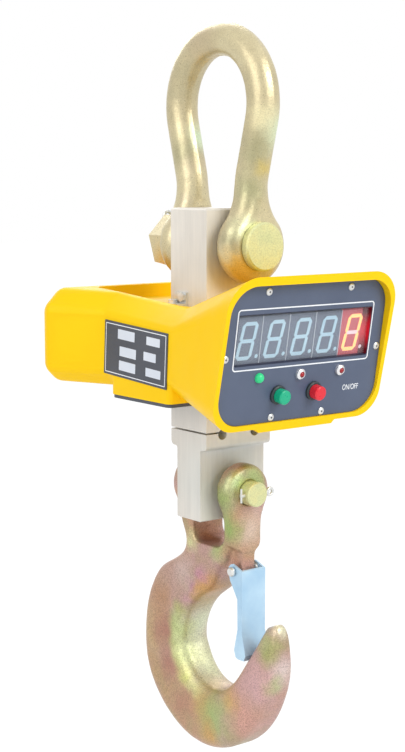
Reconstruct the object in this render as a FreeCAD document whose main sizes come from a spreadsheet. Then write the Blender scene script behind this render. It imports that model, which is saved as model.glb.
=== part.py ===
"""Hanging industrial weighing scale: bow shackle, bar load cell, cast display housing and clevis hook.

The origin is the hang point, on the inside of the shackle bow's crown. +Z is up, X runs along the
display from left to right, and the display faces -Y. All lengths are in millimetres.
"""
import FreeCAD, Part
import math
import os
import re

import Sketcher
from FreeCAD import Placement, Rotation, Vector

# ---------------------------------------------------------------- driving dimensions
SIZES = {
    # bow shackle
    "rod_dia": 28.0, "bow_radius": 54.0, "leg_lean": 15.0, "leg_bend": 60.0, "leg_offset": 39.0,
    "eye_inner": 26.0, "eye_thick": 26.0, "eye_radius": 32.0, "eye_blend": 40.0, "eye_round": 12.0,
    "pin_drop": 155.5, "pin_dia": 30.0, "pin_head_dia": 40.0, "pin_head": 6.5, "pin_end": 80.0,
    "nut_flats": 42.0, "nut_thick": 19.0, "nut_turn": 15.0, "split_pin_dia": 4.0, "pin_play": 0.05,
    "bow_foot": 118.0, "cotter_inset": 5.0,
    # bar load cell
    "bar_wide": 69.0, "bar_deep": 48.5, "bar_top": 124.7, "bar_edge": 1.5, "collar_end": 325.4,
    "tongue_deep": 31.7, "tongue_end": 386.9, "tongue_edge": 1.0, "slot_drop": 310.9, "slot_gap": 1.5,
    "relief_dia": 9.0, "relief_x": 17.5, "relief_sag": 1.8, "step_round": 2.5, "collar_round": 4.0,
    "gauge_drop": 245.0, "gauge_dia": 30.0, "gauge_deep": 6.0, "gauge_lid": 1.5,
    # cast housing, from the display rim back to the rear face
    "waist_half": 75.0, "waist_front": 30.0, "waist_back": 64.0, "waist_top": 204.0,
    "waist_bottom": 278.0, "flare_top": 197.0, "flare_bottom": 277.0,
    "rear_half": 103.0, "rear_start": 111.0, "rear_face": 124.0, "rear_top": 194.5,
    "rear_bottom": 276.0, "shoulder": 16.0, "sill": 12.0, "waist_soft": 8.0, "rear_soft": 13.0,
    "rear_round": 12.0,
    "belly_front": 27.0, "belly_back": 59.0, "belly_bottom": 282.0, "belly_round": 5.0,
    "belly_rear_round": 9.0, "belly_high": 30.0,
    "well_half": 57.0, "well_front": 26.0, "well_back": 106.0, "well_floor": 206.0, "well_round": 9.0,
    "bar_gap": 0.8, "lip_half": 44.0, "lip_drop": 3.2, "lip_deep": 9.0,
    # tilted display face: lean and the panel's middle point
    "tilt": 9.52, "panel_y": -107.38, "panel_z": -223.7,
    "panel_half": 84.0, "panel_top": 44.0, "panel_bottom": 69.0, "panel_round": 24.0,
    "panel_thick": 3.0, "rim_half": 88.4, "rim_top": 51.5, "rim_bottom": 73.5, "rim_rise": 5.3,
    "rim_lean": 3.0, "rim_round": 28.0, "rim_low_round": 23.0, "panel_gap": 0.3,
    "window_half": 70.6, "window_low": 21.0, "window_high": 20.2, "window_round": 2.0,
    "pane_lap": 1.2, "pane_thick": 1.4,
    "digit_pitch": 27.8, "digit_high": 39.5, "digit_y": -2.1, "digit_thick": 8.0, "digit_recess": 5.0,
    "board_thick": 1.6, "board_half": 73.6, "board_low": 29.8, "board_high": 30.5, "spacer_dia": 5.0,
    "main_board_drop": 28.4, "main_board_half": 62.0, "main_board_low": 47.0, "main_board_high": 12.0,
    "front_cavity_half": 76.5, "front_cavity_low": 61.0, "front_cavity_high": 33.0,
    "front_cavity_deep": 16.0, "deep_cavity_half": 70.0, "deep_cavity_low": 50.0,
    "deep_cavity_high": 15.0, "deep_cavity_deep": 31.0, "cavity_round": 8.0,
    # push buttons and lamps
    "cap_dia": 11.8, "cap_play": 0.05, "cap_rise": 10.3, "cap_root": 6.0, "cap_travel": 2.0,
    "cap_edge": 0.9, "cap_room": 1.0, "collar_edge": 1.0,
    "collar_dia": 15.6, "collar_high": 2.8, "barrel_dia": 14.0, "barrel_deep": 14.0,
    "button_y": -46.8, "green_x": -22.3, "red_x": 15.3, "ring_nut_dia": 19.0, "ring_nut_thick": 2.5,
    "lamp_y": -31.3, "steady_x": -43.8, "low_x": -1.4, "charge_x": 41.4, "lamp_dia": 5.0,
    "bezel_dia": 8.6, "bezel_high": 3.5, "bezel_barrel": 6.6, "bezel_deep": 6.0, "lamp_rise": 0.9,
    "lamp_deep": 9.0, "steady_dia": 8.0, "steady_flank": 1.2, "steady_high": 4.2,
    # small covers and fasteners
    "plate_thick": 3.0, "plate_inset": 0.8, "screw_head_dia": 6.0, "screw_head": 1.3,
    "screw_dia": 3.6, "screw_long": 10.0, "screw_edge": 0.9,
    "data_plate_long": 89.0, "data_plate_high": 46.0, "data_plate_thick": 0.8, "data_plate_turn": 3.3,
    "data_plate_y": 19.3, "data_plate_z": -244.6,
    "cover_half": 74.0, "cover_top": 208.0, "cover_bottom": 263.0, "cover_thick": 3.0,
    "cover_round": 8.0, "gasket_thick": 1.0, "rear_cavity_half": 62.0, "rear_cavity_deep": 58.0,
    "rear_cavity_low": 257.5, "rear_cavity_high": 213.5, "rear_cavity_round": 4.0,
    "battery_long": 100.0, "battery_high": 42.0, "battery_deep": 52.0, "battery_x": 10.0,
    "socket_x": 56.0, "socket_z": 234.5, "socket_dia": 11.0, "socket_flange": 15.0,
    "jack_dia": 6.8, "socket_deep": 14.0, "jack_deep": 9.0, "socket_proud": 1.6,
    "bracket_y": 8.5, "bracket_long": 16.0, "bracket_arm": 11.5, "bracket_thick": 2.4,
    "bar_bolt_drop": 4.0, "bolt_apart": 4.1, "deck_bolt_out": 7.0,
    "bolt_flats": 7.0, "bolt_head": 3.0, "bolt_dia": 4.0, "bolt_long": 10.0,
    "boot_half": 32.0, "boot_deep": 11.0, "boot_drop": 11.5, "boot_round": 5.0,
    # clevis hook
    "hook_drop": 362.0, "hook_pin_dia": 21.0, "hook_pin_face": 50.0, "hook_pin_back": 39.2,
    "hook_head_dia": 27.0, "hook_head": 5.0, "ear_outer": 39.0, "ear_round": 7.0, "ear_blend": 40.0,
    "front_ear_radius": 24.0, "front_ear_inner": 23.0, "front_arm_half": 16.0, "front_foot": 413.0,
    "foot_half": 8.0, "foot_rise": 6.0, "rear_ear_radius": 25.0, "rear_ear_inner": 17.0,
    "rear_arm_half": 18.5, "rear_foot": 391.0, "taper_top": 380.0, "taper_foot": 36.4,
    "crotch": 411.0, "crotch_round": 10.0, "bowl_y": -3.0, "bowl_z": -499.0, "lug_half": 7.5,
    "lug_radius": 6.0, "cotter_dia": 3.2,
    # safety latch
    "latch_y": -33.0, "latch_z": -429.0, "latch_half": 12.8, "latch_wall": 1.6, "latch_lobe": 6.3,
    "web_y": -44.7, "latch_end": 503.8, "latch_pin_dia": 5.0, "latch_pin_half": 14.4,
    "latch_pin_head": 2.2, "rivet_dia": 8.0, "rivet_edge": 0.8, "spring_wire": 1.0,
    "spring_radius": 4.2, "spring_leg": 22.0,
}

doc = FreeCAD.newDocument("HangingScale")
sheet = doc.addObject("Spreadsheet::Sheet", "Sizes")
for row, (alias, length) in enumerate(SIZES.items(), 1):
    sheet.set(f"A{row}", alias)
    sheet.set(f"B{row}", str(length))
    sheet.setAlias(f"B{row}", alias)
doc.recompute()

ALIAS = re.compile(r"\b(" + "|".join(SIZES) + r")\b")
NODES = []


# ---------------------------------------------------------------- helpers: expressions and sketches
def cell(expression):
    """Spell an expression so that its aliases are read from the sheet."""
    return ALIAS.sub(r"Sizes.\1", str(expression))


def size(expression):
    return float(sheet.evalExpression(cell(expression)))


def bind(thing, **properties):
    for name, expression in properties.items():
        thing.setExpression(name.replace("__", "."), cell(expression))
    return thing


def node(thing, label):
    """Register an object as a sub-part; its label names its file."""
    thing.Label = label
    NODES.append(thing)
    return thing


def new_body(label):
    return node(doc.addObject("PartDesign::Body", label + "_body"), label)


def origin_plane(body, role):
    return next(part for part in body.Origin.OriginFeatures if part.Role == role)


def sketch(body, role, offset="0", shift=("0", "0"), turn=0.0):
    """A sketch on one of the body's origin planes, moved along its normal and turned about its x axis."""
    made = body.newObject("Sketcher::SketchObject", body.Label + "_sketch")
    made.AttachmentSupport = [(origin_plane(body, role), "")]
    made.MapMode = "FlatFace"
    made.AttachmentOffset = Placement(
        Vector(size(shift[0]), size(shift[1]), size(offset)), Rotation(Vector(1, 0, 0), turn))
    made.setExpression("AttachmentOffset.Base.z", cell(offset))
    return made


def free_sketch(name, placement=Placement()):
    made = doc.addObject("Sketcher::SketchObject", name)
    made.Placement = placement
    return made


def hold(drawing, kind, *args):
    """Add a constraint whose last argument is an expression on the sheet."""
    index = drawing.addConstraint(Sketcher.Constraint(kind, *args[:-1], size(args[-1])))
    drawing.setExpression(f"Constraints[{index}]", cell(args[-1]))


def pin_point(drawing, geometry, position, x, y):
    hold(drawing, "DistanceX", -1, 1, geometry, position, x)
    hold(drawing, "DistanceY", -1, 1, geometry, position, y)


def circle(drawing, x, y, radius):
    index = drawing.addGeometry(
        Part.Circle(Vector(size(x), size(y), 0), Vector(0, 0, 1), size(radius)), False)
    hold(drawing, "Radius", index, radius)
    pin_point(drawing, index, 3, x, y)


def arc_between(start, end, radius):
    """The minor arc from start to end: counter-clockwise for a positive radius."""
    chord = end - start
    left = Vector(-chord.y, chord.x, 0).normalize()
    reach = math.sqrt(max(radius ** 2 - chord.Length ** 2 / 4, 0))
    centre = (start + end) * 0.5 + left * math.copysign(reach, radius)
    first, last = (start, end) if radius > 0 else (end, start)
    angles = [math.atan2(point.y - centre.y, point.x - centre.x) for point in (first, last)]
    if angles[1] < angles[0]:
        angles[1] += 2 * math.pi
    return Part.ArcOfCircle(Part.Circle(centre, Vector(0, 0, 1), abs(radius)), *angles)


def path(drawing, corners, closed=True):
    """Lines and arcs through corners (x, y) or (x, y, radius of the arc that leaves this corner).

    A radius is an expression; one that starts with a minus sign turns clockwise.
    """
    corners = [[str(value) for value in corner] for corner in corners]
    places = [Vector(size(x), size(y), 0) for x, y, *_ in corners]
    count = len(corners) if closed else len(corners) - 1
    ends = []
    for i in range(count):
        start, end = places[i], places[(i + 1) % len(places)]
        if len(corners[i]) == 3:
            index = drawing.addGeometry(arc_between(start, end, size(corners[i][2])), False)
            ends.append((index, 1, 2) if size(corners[i][2]) > 0 else (index, 2, 1))
        else:
            ends.append((drawing.addGeometry(Part.LineSegment(start, end), False), 1, 2))
    for i, (index, first, last) in enumerate(ends):
        if closed or i + 1 < count:
            following = ends[(i + 1) % count]
            drawing.addConstraint(
                Sketcher.Constraint("Coincident", index, last, following[0], following[1]))
        pin_point(drawing, index, first, corners[i][0], corners[i][1])
        if len(corners[i]) == 3:
            hold(drawing, "Radius", index, corners[i][2].lstrip("-"))
    if not closed:
        pin_point(drawing, ends[-1][0], ends[-1][2], corners[-1][0], corners[-1][1])


def rounded_box(drawing, left, right, bottom, top, low_round, high_round=None):
    """A rectangle with rounded corners: one radius for the lower two, another for the upper two."""
    high_round = high_round or low_round
    path(drawing, [
        (f"{left} + {low_round}", bottom), (f"{right} - {low_round}", bottom, low_round),
        (right, f"{bottom} + {low_round}"), (right, f"{top} - {high_round}", high_round),
        (f"{right} - {high_round}", top), (f"{left} + {high_round}", top, high_round),
        (left, f"{top} - {high_round}"), (left, f"{bottom} + {low_round}", low_round)])


def shouldered_box(drawing, half, bottom, top, low, high):
    """A box whose corners are cut off: low and high are each (cut, radius that softens its two ends)."""
    def corner(cut, soft, x, z, way):
        # the four points of a corner from its upright side to its level side
        reach = f"({soft}) * tan(22.5 * 1 deg)"
        slip = f"{reach} * cos(45 * 1 deg)"
        return [(f"{x}({half})", f"{z} - {way}(({cut}) + {reach})"),
                (f"{x}(({half}) - {slip})", f"{z} - {way}(({cut}) - {slip})"),
                (f"{x}(({half}) - ({cut}) + {slip})", f"{z} - {way}({slip})"),
                (f"{x}(({half}) - ({cut}) - {reach})", z)]
    (low_cut, low_soft), (high_cut, high_soft) = low, high
    right_low, left_low = (corner(low_cut, low_soft, x, bottom, "-1 * ") for x in ("", "-1 * "))
    right_high, left_high = (corner(high_cut, high_soft, x, top, "") for x in ("", "-1 * "))
    path(drawing, soften(right_low[::-1], low_soft) + soften(right_high, high_soft)
         + soften(left_high[::-1], high_soft) + soften(left_low, low_soft))


def soften(points, radius):
    """Corner points whose first and third legs are arcs."""
    return [(*points[0], radius), points[1], (*points[2], radius), points[3]]


def split_box(drawing, half, bottom, top, low_round, high_round):
    """A rounded box with each corner's arc in three parts, to match a shouldered box."""
    def corner(radius, x, z, way):
        return [(f"{x}({half} - {radius} * (1 - cos({turn} * 1 deg)))",
                 f"{z} - {way}({radius} * (1 - sin({turn} * 1 deg)))", radius)
                for turn in (0, 30, 60, 90)]
    right_low, left_low = (corner(low_round, x, bottom, "-1 * ") for x in ("", "-1 * "))
    right_high, left_high = (corner(high_round, x, top, "") for x in ("", "-1 * "))
    corners = []
    for points in (right_low[::-1], right_high, left_high[::-1], left_low):
        corners += points[:3] + [points[3][:2]]
    path(drawing, corners)


def square_box(drawing, left, right, bottom, top):
    path(drawing, [(left, bottom), (right, bottom), (right, top), (left, top)])


# ---------------------------------------------------------------- helpers: features
def grow(body, kind, drawing, length, **options):
    """A Pad or Pocket of a sketch; a Pocket must take material away."""
    before = body.Shape.Volume if body.Tip else 0.0
    feature = body.newObject("PartDesign::" + kind, body.Label + "_" + kind.lower())
    feature.Profile = drawing
    if length is None:
        feature.Type = "ThroughAll"
    else:
        feature.setExpression("Length", cell(length))
    for name, value in options.items():
        setattr(feature, name, value)
    drawing.Visibility = False
    doc.recompute()
    change = body.Shape.Volume - before
    if (kind == "Pocket") != (change < 0) or abs(change) < 1e-3:
        raise ValueError(f"{feature.Label} changed the volume by {change:.3f}")
    return feature


def pad(body, drawing, length, **options):
    return grow(body, "Pad", drawing, length, **options)


def pocket(body, drawing, length=None, **options):
    return grow(body, "Pocket", drawing, length, **options)


def loft(body, sections, ruled):
    feature = body.newObject("PartDesign::AdditiveLoft", body.Label + "_loft")
    feature.Profile = sections[0]
    feature.Sections = sections[1:]
    feature.Ruled = ruled
    doc.recompute()
    return feature


def edges_where(shape, test):
    return [f"Edge{i}" for i, edge in enumerate(shape.Edges, 1) if test(edge)]


def dress(body, kind, amount, test):
    """A Fillet or Chamfer on the edges of the body's tip that pass the test."""
    base = body.Tip
    names = edges_where(base.Shape, test)
    feature = body.newObject("PartDesign::" + kind, body.Label + "_" + kind.lower())
    feature.Base = (base, names)
    feature.setExpression("Radius" if kind == "Fillet" else "Size", cell(amount))
    doc.recompute()
    return feature


def flat_at(edge, axis, place, reach=0.01):
    """Whether all of an edge lies in the plane at a place along an axis."""
    box = edge.BoundBox
    low, high = getattr(box, axis + "Min"), getattr(box, axis + "Max")
    return abs(low - place) < reach and abs(high - place) < reach


# rotations that lay a primitive's own z axis along another direction
TURNS = {"X": Rotation(Vector(0, 1, 0), 90), "Y": Rotation(Vector(1, 0, 0), -90),
         "-Y": Rotation(Vector(1, 0, 0), 90), "-X": Rotation(Vector(0, 1, 0), -90),
         "Z": Rotation(), "-Z": Rotation(Vector(1, 0, 0), 180)}


def place_at(thing, x, y, z, along="Z"):
    thing.Placement = Placement(Vector(size(x), size(y), size(z)), TURNS[along])
    return bind(thing, Placement__Base__x=x, Placement__Base__y=y, Placement__Base__z=z)


def rod(name, radius, length, x="0", y="0", z="0", along="Z"):
    made = doc.addObject("Part::Cylinder", name)
    bind(made, Radius=radius, Height=length)
    return place_at(made, x, y, z, along)


def hexagon(name, flats, length, x="0", y="0", z="0", along="Z"):
    made = doc.addObject("Part::Prism", name)
    made.Polygon = 6
    bind(made, Circumradius=f"({flats}) / sqrt(3)", Height=length)
    return place_at(made, x, y, z, along)


def fuse(name, shapes):
    made = doc.addObject("Part::MultiFuse", name)
    made.Shapes = shapes
    return made


def cut(name, base, tool):
    made = doc.addObject("Part::Cut", name)
    made.Base, made.Tool = base, tool
    return made


def group(label, shapes):
    """Several separate solids that share a node."""
    made = doc.addObject("Part::Compound", label + "_group")
    made.Links = shapes
    return node(made, label)


def turned(name, corners, placement=Placement()):
    """A solid turned about its own z axis from a half profile of (radius, height) corners."""
    drawing = free_sketch(name + "_profile", Placement(Vector(), Rotation(Vector(1, 0, 0), 90)))
    path(drawing, corners)
    made = doc.addObject("Part::Revolution", name)
    made.Source = drawing
    made.Axis = Vector(0, 0, 1)
    made.Angle = 360
    made.Solid = True
    made.Placement = placement
    return made


PANEL = Placement(Vector(0, size("panel_y"), size("panel_z")),
                  Rotation(Vector(1, 0, 0), 90 + size("tilt")))


def on_panel(x="0", y="0", z="0"):
    """A placement in the display face: x across, y up the face, z out of it."""
    return PANEL.multiply(Placement(Vector(size(x), size(y), size(z)), Rotation()))


# ---------------------------------------------------------------- bow shackle
def make_shackle():
    # the round rod: crown, leaning legs, reverse bends, then straight down into the eyes
    crown_z = "rod_dia / 2 - bow_radius"
    turn_y = "bow_radius * cos(leg_lean * 1 deg)"
    turn_z = f"{crown_z} - bow_radius * sin(leg_lean * 1 deg)"
    bend_y = "leg_offset + leg_bend * (1 - cos(leg_lean * 1 deg))"
    bend_z = f"{turn_z} - ({turn_y} - ({bend_y})) / tan(leg_lean * 1 deg)"
    foot_z = f"{bend_z} - leg_bend * sin(leg_lean * 1 deg)"
    leg_long = f"({turn_y} - ({bend_y})) / sin(leg_lean * 1 deg)"
    upright_turn = Rotation(Vector(1, 1, 1), 120)

    def rod_bend(name, radius, y, z, start, sweep):
        """Part of a ring of the rod in the YZ plane, from a start angle measured from +Y."""
        made = doc.addObject("Part::Torus", name)
        bind(made, Radius1=radius, Radius2="rod_dia / 2", Angle3=sweep)
        made.Placement = Placement(Vector(0, size(y), size(z)),
                                   upright_turn.multiply(Rotation(Vector(0, 0, 1), size(start))))
        return bind(made, Placement__Base__y=y, Placement__Base__z=z)
    crown = rod_bend("bow_crown", "bow_radius", "0", crown_z, "-leg_lean", "180 + 2 * leg_lean")
    leg = rod("bow_leg", "rod_dia / 2", leg_long, y=turn_y, z=turn_z, along="-Z")
    leg.Placement = Placement(leg.Placement.Base, Rotation(Vector(1, 0, 0), 180 - size("leg_lean")))
    bend = rod_bend("bow_bend", "leg_bend", "leg_offset + leg_bend", foot_z, "180 - leg_lean",
                    "leg_lean")
    foot = rod("bow_foot", "rod_dia / 2", f"{foot_z} + bow_foot", y="leg_offset", z="-bow_foot")
    half = fuse("bow_half", [leg, bend, foot])
    other_half = doc.addObject("Part::Mirroring", "bow_other_half")
    other_half.Source = half
    other_half.Normal = Vector(0, 1, 0)
    bow = fuse("bow_rod", [crown, half, other_half])

    # teardrop eyes: the round eye runs up into the rod through two hollow curves
    reach = "(eye_radius + eye_blend)"
    side = "(rod_dia / 2 + eye_blend)"
    rise = f"sqrt({reach}^2 - {side}^2)"
    touch_x, touch_z = f"{side} * eye_radius / {reach}", f"-pin_drop + {rise} * eye_radius / {reach}"
    drop = free_sketch("eye_outline", Placement(Vector(0, -size("eye_inner"), 0),
                                                Rotation(Vector(1, 0, 0), 90)))
    path(drop, [
        ("-rod_dia / 2", f"-pin_drop + {rise}", "-eye_blend"), (f"-{touch_x}", touch_z, "eye_radius"),
        ("0", "-pin_drop - eye_radius", "eye_radius"), (touch_x, touch_z, "-eye_blend"),
        ("rod_dia / 2", f"-pin_drop + {rise}")])
    slab = doc.addObject("Part::Extrusion", "eye_slab")
    slab.Base = drop
    slab.DirMode = "Normal"
    slab.Solid = True
    bind(slab, LengthFwd="eye_thick")
    doc.recompute()
    eye = doc.addObject("Part::Fillet", "eye_rounded")
    eye.Base = slab
    faces = (-size("eye_inner"), -size("eye_inner + eye_thick"))
    eye.Edges = [(i, size("eye_round"), size("eye_round"))
                 for i, edge in enumerate(slab.Shape.Edges, 1)
                 if any(flat_at(edge, "Y", face) for face in faces) and edge.BoundBox.ZLength > 5]
    rear_eye = doc.addObject("Part::Mirroring", "eye_mirrored")
    rear_eye.Source = eye
    rear_eye.Normal = Vector(0, 1, 0)
    forging = fuse("bow_forging", [bow, eye, rear_eye])
    bore = rod("bow_bore", "pin_dia / 2", "4 * leg_offset", y="-2 * leg_offset", z="-pin_drop", along="Y")
    node(cut("bow_bored", forging, bore), "shackle_bow")

    # the pin lies along Y with its head in front
    front = "eye_inner + eye_thick"
    edge = "1.5"
    pin = turned("pin_turned", [
        ("0", "0"), (f"pin_head_dia / 2 - {edge}", "0"), ("pin_head_dia / 2", edge),
        ("pin_head_dia / 2", "pin_head"), ("pin_dia / 2", "pin_head"),
        ("pin_dia / 2", f"pin_head + {front} + pin_end - {edge}"),
        (f"pin_dia / 2 - {edge}", f"pin_head + {front} + pin_end"),
        ("0", f"pin_head + {front} + pin_end")])
    place_at(pin, "0", f"-({front}) - pin_head", "-pin_drop", "Y")
    cross = rod("pin_cross_hole", "split_pin_dia / 2 + 0.1", "2 * pin_dia", y="pin_end - cotter_inset",
                z="-pin_drop - pin_dia", along="Z")
    node(cut("pin_drilled", pin, cross), "shackle_pin")
    nut = hexagon("nut_blank", "nut_flats", "nut_thick", y=f"{front} + 0.2", z="-pin_drop", along="Y")
    nut.Placement = nut.Placement.multiply(
        Placement(Vector(), Rotation(Vector(0, 0, 1), size("nut_turn"))))
    hole = rod("nut_hole", "pin_dia / 2 + pin_play", "3 * nut_thick", y=front, z="-pin_drop", along="Y")
    node(cut("nut_bored", nut, hole), "shackle_nut")
    node(make_split_pin("shackle_split", "split_pin_dia", "pin_dia / 2", "pin_end - cotter_inset",
                        "-pin_drop", -90), "shackle_split_pin")


def make_split_pin(name, wire, reach, y, z, turn=0):
    """A split pin along X before its turn about Y: shank, ring head, and two legs bent apart."""
    shank = rod(name + "_shank", f"{wire} / 2", f"2 * ({reach}) + 7", x=f"-({reach}) - 4", along="X")
    ring = doc.addObject("Part::Torus", name + "_ring")
    bind(ring, Radius1=f"{wire} * 0.9", Radius2=f"{wire} * 0.4")
    place_at(ring, f"{reach} + 3 + {wire} * 1.1", "0", "0", "Y")
    legs = [rod(f"{name}_leg_{way}", f"{wire} * 0.3", "6", x=f"-({reach}) - 3.4", along=way)
            for way in ("Z", "-Z")]
    made = fuse(name + "_pin", [shank, ring] + legs)
    made.Placement = Placement(Vector(0, size(y), size(z)), Rotation(Vector(0, 1, 0), turn))
    return made


# ---------------------------------------------------------------- bar load cell
BAR_BOLT = ("bracket_y - bolt_apart", "-well_floor + bracket_arm - bar_bolt_drop")


def make_load_cell():
    body = new_body("load_cell")
    bar = sketch(body, "XY_Plane", "-collar_end")
    square_box(bar, "-bar_wide / 2", "bar_wide / 2", "-bar_deep / 2", "bar_deep / 2")
    pad(body, bar, "collar_end - bar_top")
    tongue = sketch(body, "XY_Plane", "-tongue_end")
    square_box(tongue, "-bar_wide / 2", "bar_wide / 2", "-tongue_deep / 2", "tongue_deep / 2")
    pad(body, tongue, "tongue_end - collar_end + 1")
    collar = -size("collar_end")
    dress(body, "Fillet", "step_round", lambda edge: flat_at(edge, "Z", collar)
          and abs(abs(edge.CenterOfMass.y) - size("tongue_deep / 2")) < 0.01)
    dress(body, "Fillet", "collar_round", lambda edge: flat_at(edge, "Z", collar)
          and abs(abs(edge.CenterOfMass.y) - size("bar_deep / 2")) < 0.01)
    dress(body, "Chamfer", "bar_edge", lambda edge: flat_at(edge, "Z", -size("bar_top")))
    dress(body, "Chamfer", "tongue_edge", lambda edge: flat_at(edge, "Z", -size("tongue_end")))
    bores = sketch(body, "XZ_Plane")
    circle(bores, "0", "-pin_drop", "pin_dia / 2 + pin_play")
    circle(bores, "0", "-hook_drop", "hook_pin_dia / 2 + pin_play")
    pocket(body, bores, None, Midplane=True)
    for side in ("", "-"):
        slot = sketch(body, "XZ_Plane")
        inner, outer = f"{side}relief_x", f"{side}(bar_wide / 2 + 1)"
        path(slot, [(inner, "-slot_drop - slot_gap / 2"), (outer, "-slot_drop - slot_gap / 2"),
                    (outer, "-slot_drop + slot_gap / 2"), (inner, "-slot_drop + slot_gap / 2")])
        pocket(body, slot, None, Midplane=True)
        relief = sketch(body, "XZ_Plane")
        circle(relief, inner, "-slot_drop - relief_sag", "relief_dia / 2")
        pocket(body, relief, None, Midplane=True)
        gauge = sketch(body, "YZ_Plane", f"{side}(bar_wide / 2)")
        circle(gauge, "0", "-gauge_drop", "gauge_dia / 2")
        pocket(body, gauge, "gauge_deep", Reversed=bool(side))
        tapped = sketch(body, "YZ_Plane", f"{side}(bar_wide / 2)")
        circle(tapped, *BAR_BOLT, "bolt_dia / 2")
        pocket(body, tapped, "bolt_long", Reversed=bool(side))
    group("gauge_covers", [
        rod("gauge_cover_right", "gauge_dia / 2", "gauge_lid", x="bar_wide / 2 - gauge_lid",
            z="-gauge_drop", along="X"),
        rod("gauge_cover_left", "gauge_dia / 2", "gauge_lid", x="gauge_lid - bar_wide / 2",
            z="-gauge_drop", along="-X")])


# ---------------------------------------------------------------- cast housing
def make_housing():
    body = new_body("housing")
    rear = sketch(body, "XZ_Plane", "-rear_face")
    shouldered_box(rear, "rear_half", "-rear_bottom", "-rear_top", ("sill", "rear_soft"),
                   ("shoulder", "rear_soft"))
    pad(body, rear, "rear_face - rear_start")
    dress(body, "Fillet", "rear_round", lambda edge: flat_at(edge, "Y", size("rear_face")))
    def rim_sketch():
        return sketch(body, "XZ_Plane", "-panel_y + rim_rise * cos(tilt * 1 deg)",
                      ("0", "panel_z - rim_rise * sin(tilt * 1 deg)"), size("tilt + rim_lean"))
    rim = rim_sketch()
    split_box(rim, "rim_half", "-rim_bottom", "rim_top", "rim_low_round", "rim_round")
    stations = (("waist_front", "waist_half", "waist_bottom", "waist_top", "waist_soft"),
                ("-waist_back", "waist_half", "flare_bottom", "flare_top", "waist_soft"),
                ("-rear_start", "rear_half", "rear_bottom", "rear_top", "rear_soft"))
    sections = [rim]
    for offset, half, bottom, top, soft in stations:
        station = sketch(body, "XZ_Plane", offset)
        shouldered_box(station, half, f"-{bottom}", f"-{top}", ("sill", soft), ("shoulder", soft))
        sections.append(station)
    loft(body, sections, ruled=True)

    belly = sketch(body, "XY_Plane", "-belly_bottom")
    rounded_box(belly, "-waist_half", "waist_half", "-belly_front", "belly_back", "belly_round",
                "belly_rear_round")
    pad(body, belly, "belly_high")
    lip = rim_sketch()
    path(lip, [("-lip_half", "-rim_bottom + 2"), ("-lip_half + 5", "-rim_bottom - lip_drop"),
               ("lip_half - 5", "-rim_bottom - lip_drop"), ("lip_half", "-rim_bottom + 2")])
    pad(body, lip, "lip_deep", Reversed=True)

    # the well round the bar, and the slot that the bar passes through
    well = sketch(body, "XY_Plane", "-well_floor")
    rounded_box(well, "-well_half", "well_half", "-well_front", "well_back", "well_round")
    pocket(body, well, None, Reversed=True)
    slot = sketch(body, "XY_Plane")
    square_box(slot, "-bar_wide / 2 - bar_gap", "bar_wide / 2 + bar_gap",
               "-bar_deep / 2 - bar_gap", "bar_deep / 2 + bar_gap")
    pocket(body, slot, None)

    # recess for the panel, and the stepped electronics bay behind it
    def face_sketch(depth):
        return sketch(body, "XZ_Plane", f"-panel_y - ({depth}) * cos(tilt * 1 deg)",
                      ("0", f"panel_z + ({depth}) * sin(tilt * 1 deg)"), size("tilt"))
    seat = face_sketch("panel_thick")
    rounded_box(seat, "-panel_half - panel_gap", "panel_half + panel_gap",
                "-panel_bottom - panel_gap", "panel_top + panel_gap", "panel_round")
    pocket(body, seat, None, Reversed=True)
    bay = face_sketch("panel_thick")
    rounded_box(bay, "-front_cavity_half", "front_cavity_half", "-front_cavity_low",
                "front_cavity_high", "cavity_round")
    pocket(body, bay, "front_cavity_deep")
    deep_bay = face_sketch("panel_thick + front_cavity_deep")
    rounded_box(deep_bay, "-deep_cavity_half", "deep_cavity_half", "-deep_cavity_low",
                "deep_cavity_high", "cavity_round")
    pocket(body, deep_bay, "deep_cavity_deep")
    taps = face_sketch("panel_thick")
    for x, y in PANEL_SCREWS:
        circle(taps, x, y, "screw_dia / 2")
    pocket(body, taps, "screw_long - panel_thick")

    # battery bay behind the rear cover
    cover = sketch(body, "XZ_Plane", "-rear_face")
    rounded_box(cover, "-cover_half - panel_gap", "cover_half + panel_gap",
                "-cover_bottom - panel_gap", "-cover_top + panel_gap", "cover_round")
    pocket(body, cover, "cover_thick + gasket_thick", Reversed=True)
    battery_bay = sketch(body, "XZ_Plane", "-rear_face")
    rounded_box(battery_bay, "-rear_cavity_half", "rear_cavity_half", "-rear_cavity_low",
                "-rear_cavity_high", "rear_cavity_round")
    pocket(body, battery_bay, "rear_cavity_deep", Reversed=True)
    cover_taps = sketch(body, "XZ_Plane", "-rear_face")
    for x, z in COVER_SCREWS:
        circle(cover_taps, x, z, "screw_dia / 2")
    pocket(body, cover_taps, "screw_long + 1", Reversed=True)
    plate_taps = sketch(body, "XY_Plane", "-belly_bottom")
    for x, y in PLATE_SCREWS:
        circle(plate_taps, x, y, "screw_dia / 2")
    pocket(body, plate_taps, "screw_long - plate_thick", Reversed=True)
    deck_taps = sketch(body, "XY_Plane", "-well_floor")
    for side in ("", "-"):
        circle(deck_taps, side + DECK_BOLT[0], DECK_BOLT[1], "bolt_dia / 2")
    pocket(body, deck_taps, "bolt_long - bracket_thick")


PANEL_SCREWS = (("-43.3", "37.6"), ("43.3", "37.6"), ("-79.8", "-14"), ("79.8", "-14"),
                ("-26.8", "-65.2"), ("26.8", "-65.2"))
COVER_SCREWS = (("-68", "-213.5"), ("68", "-213.5"), ("-68", "-257.5"), ("68", "-257.5"))
PLATE_SCREWS = (("-66", "-19"), ("66", "-19"), ("-66", "49"), ("66", "49"))
DECK_BOLT = ("(bar_wide / 2 + deck_bolt_out)", "bracket_y + bolt_apart")


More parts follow.
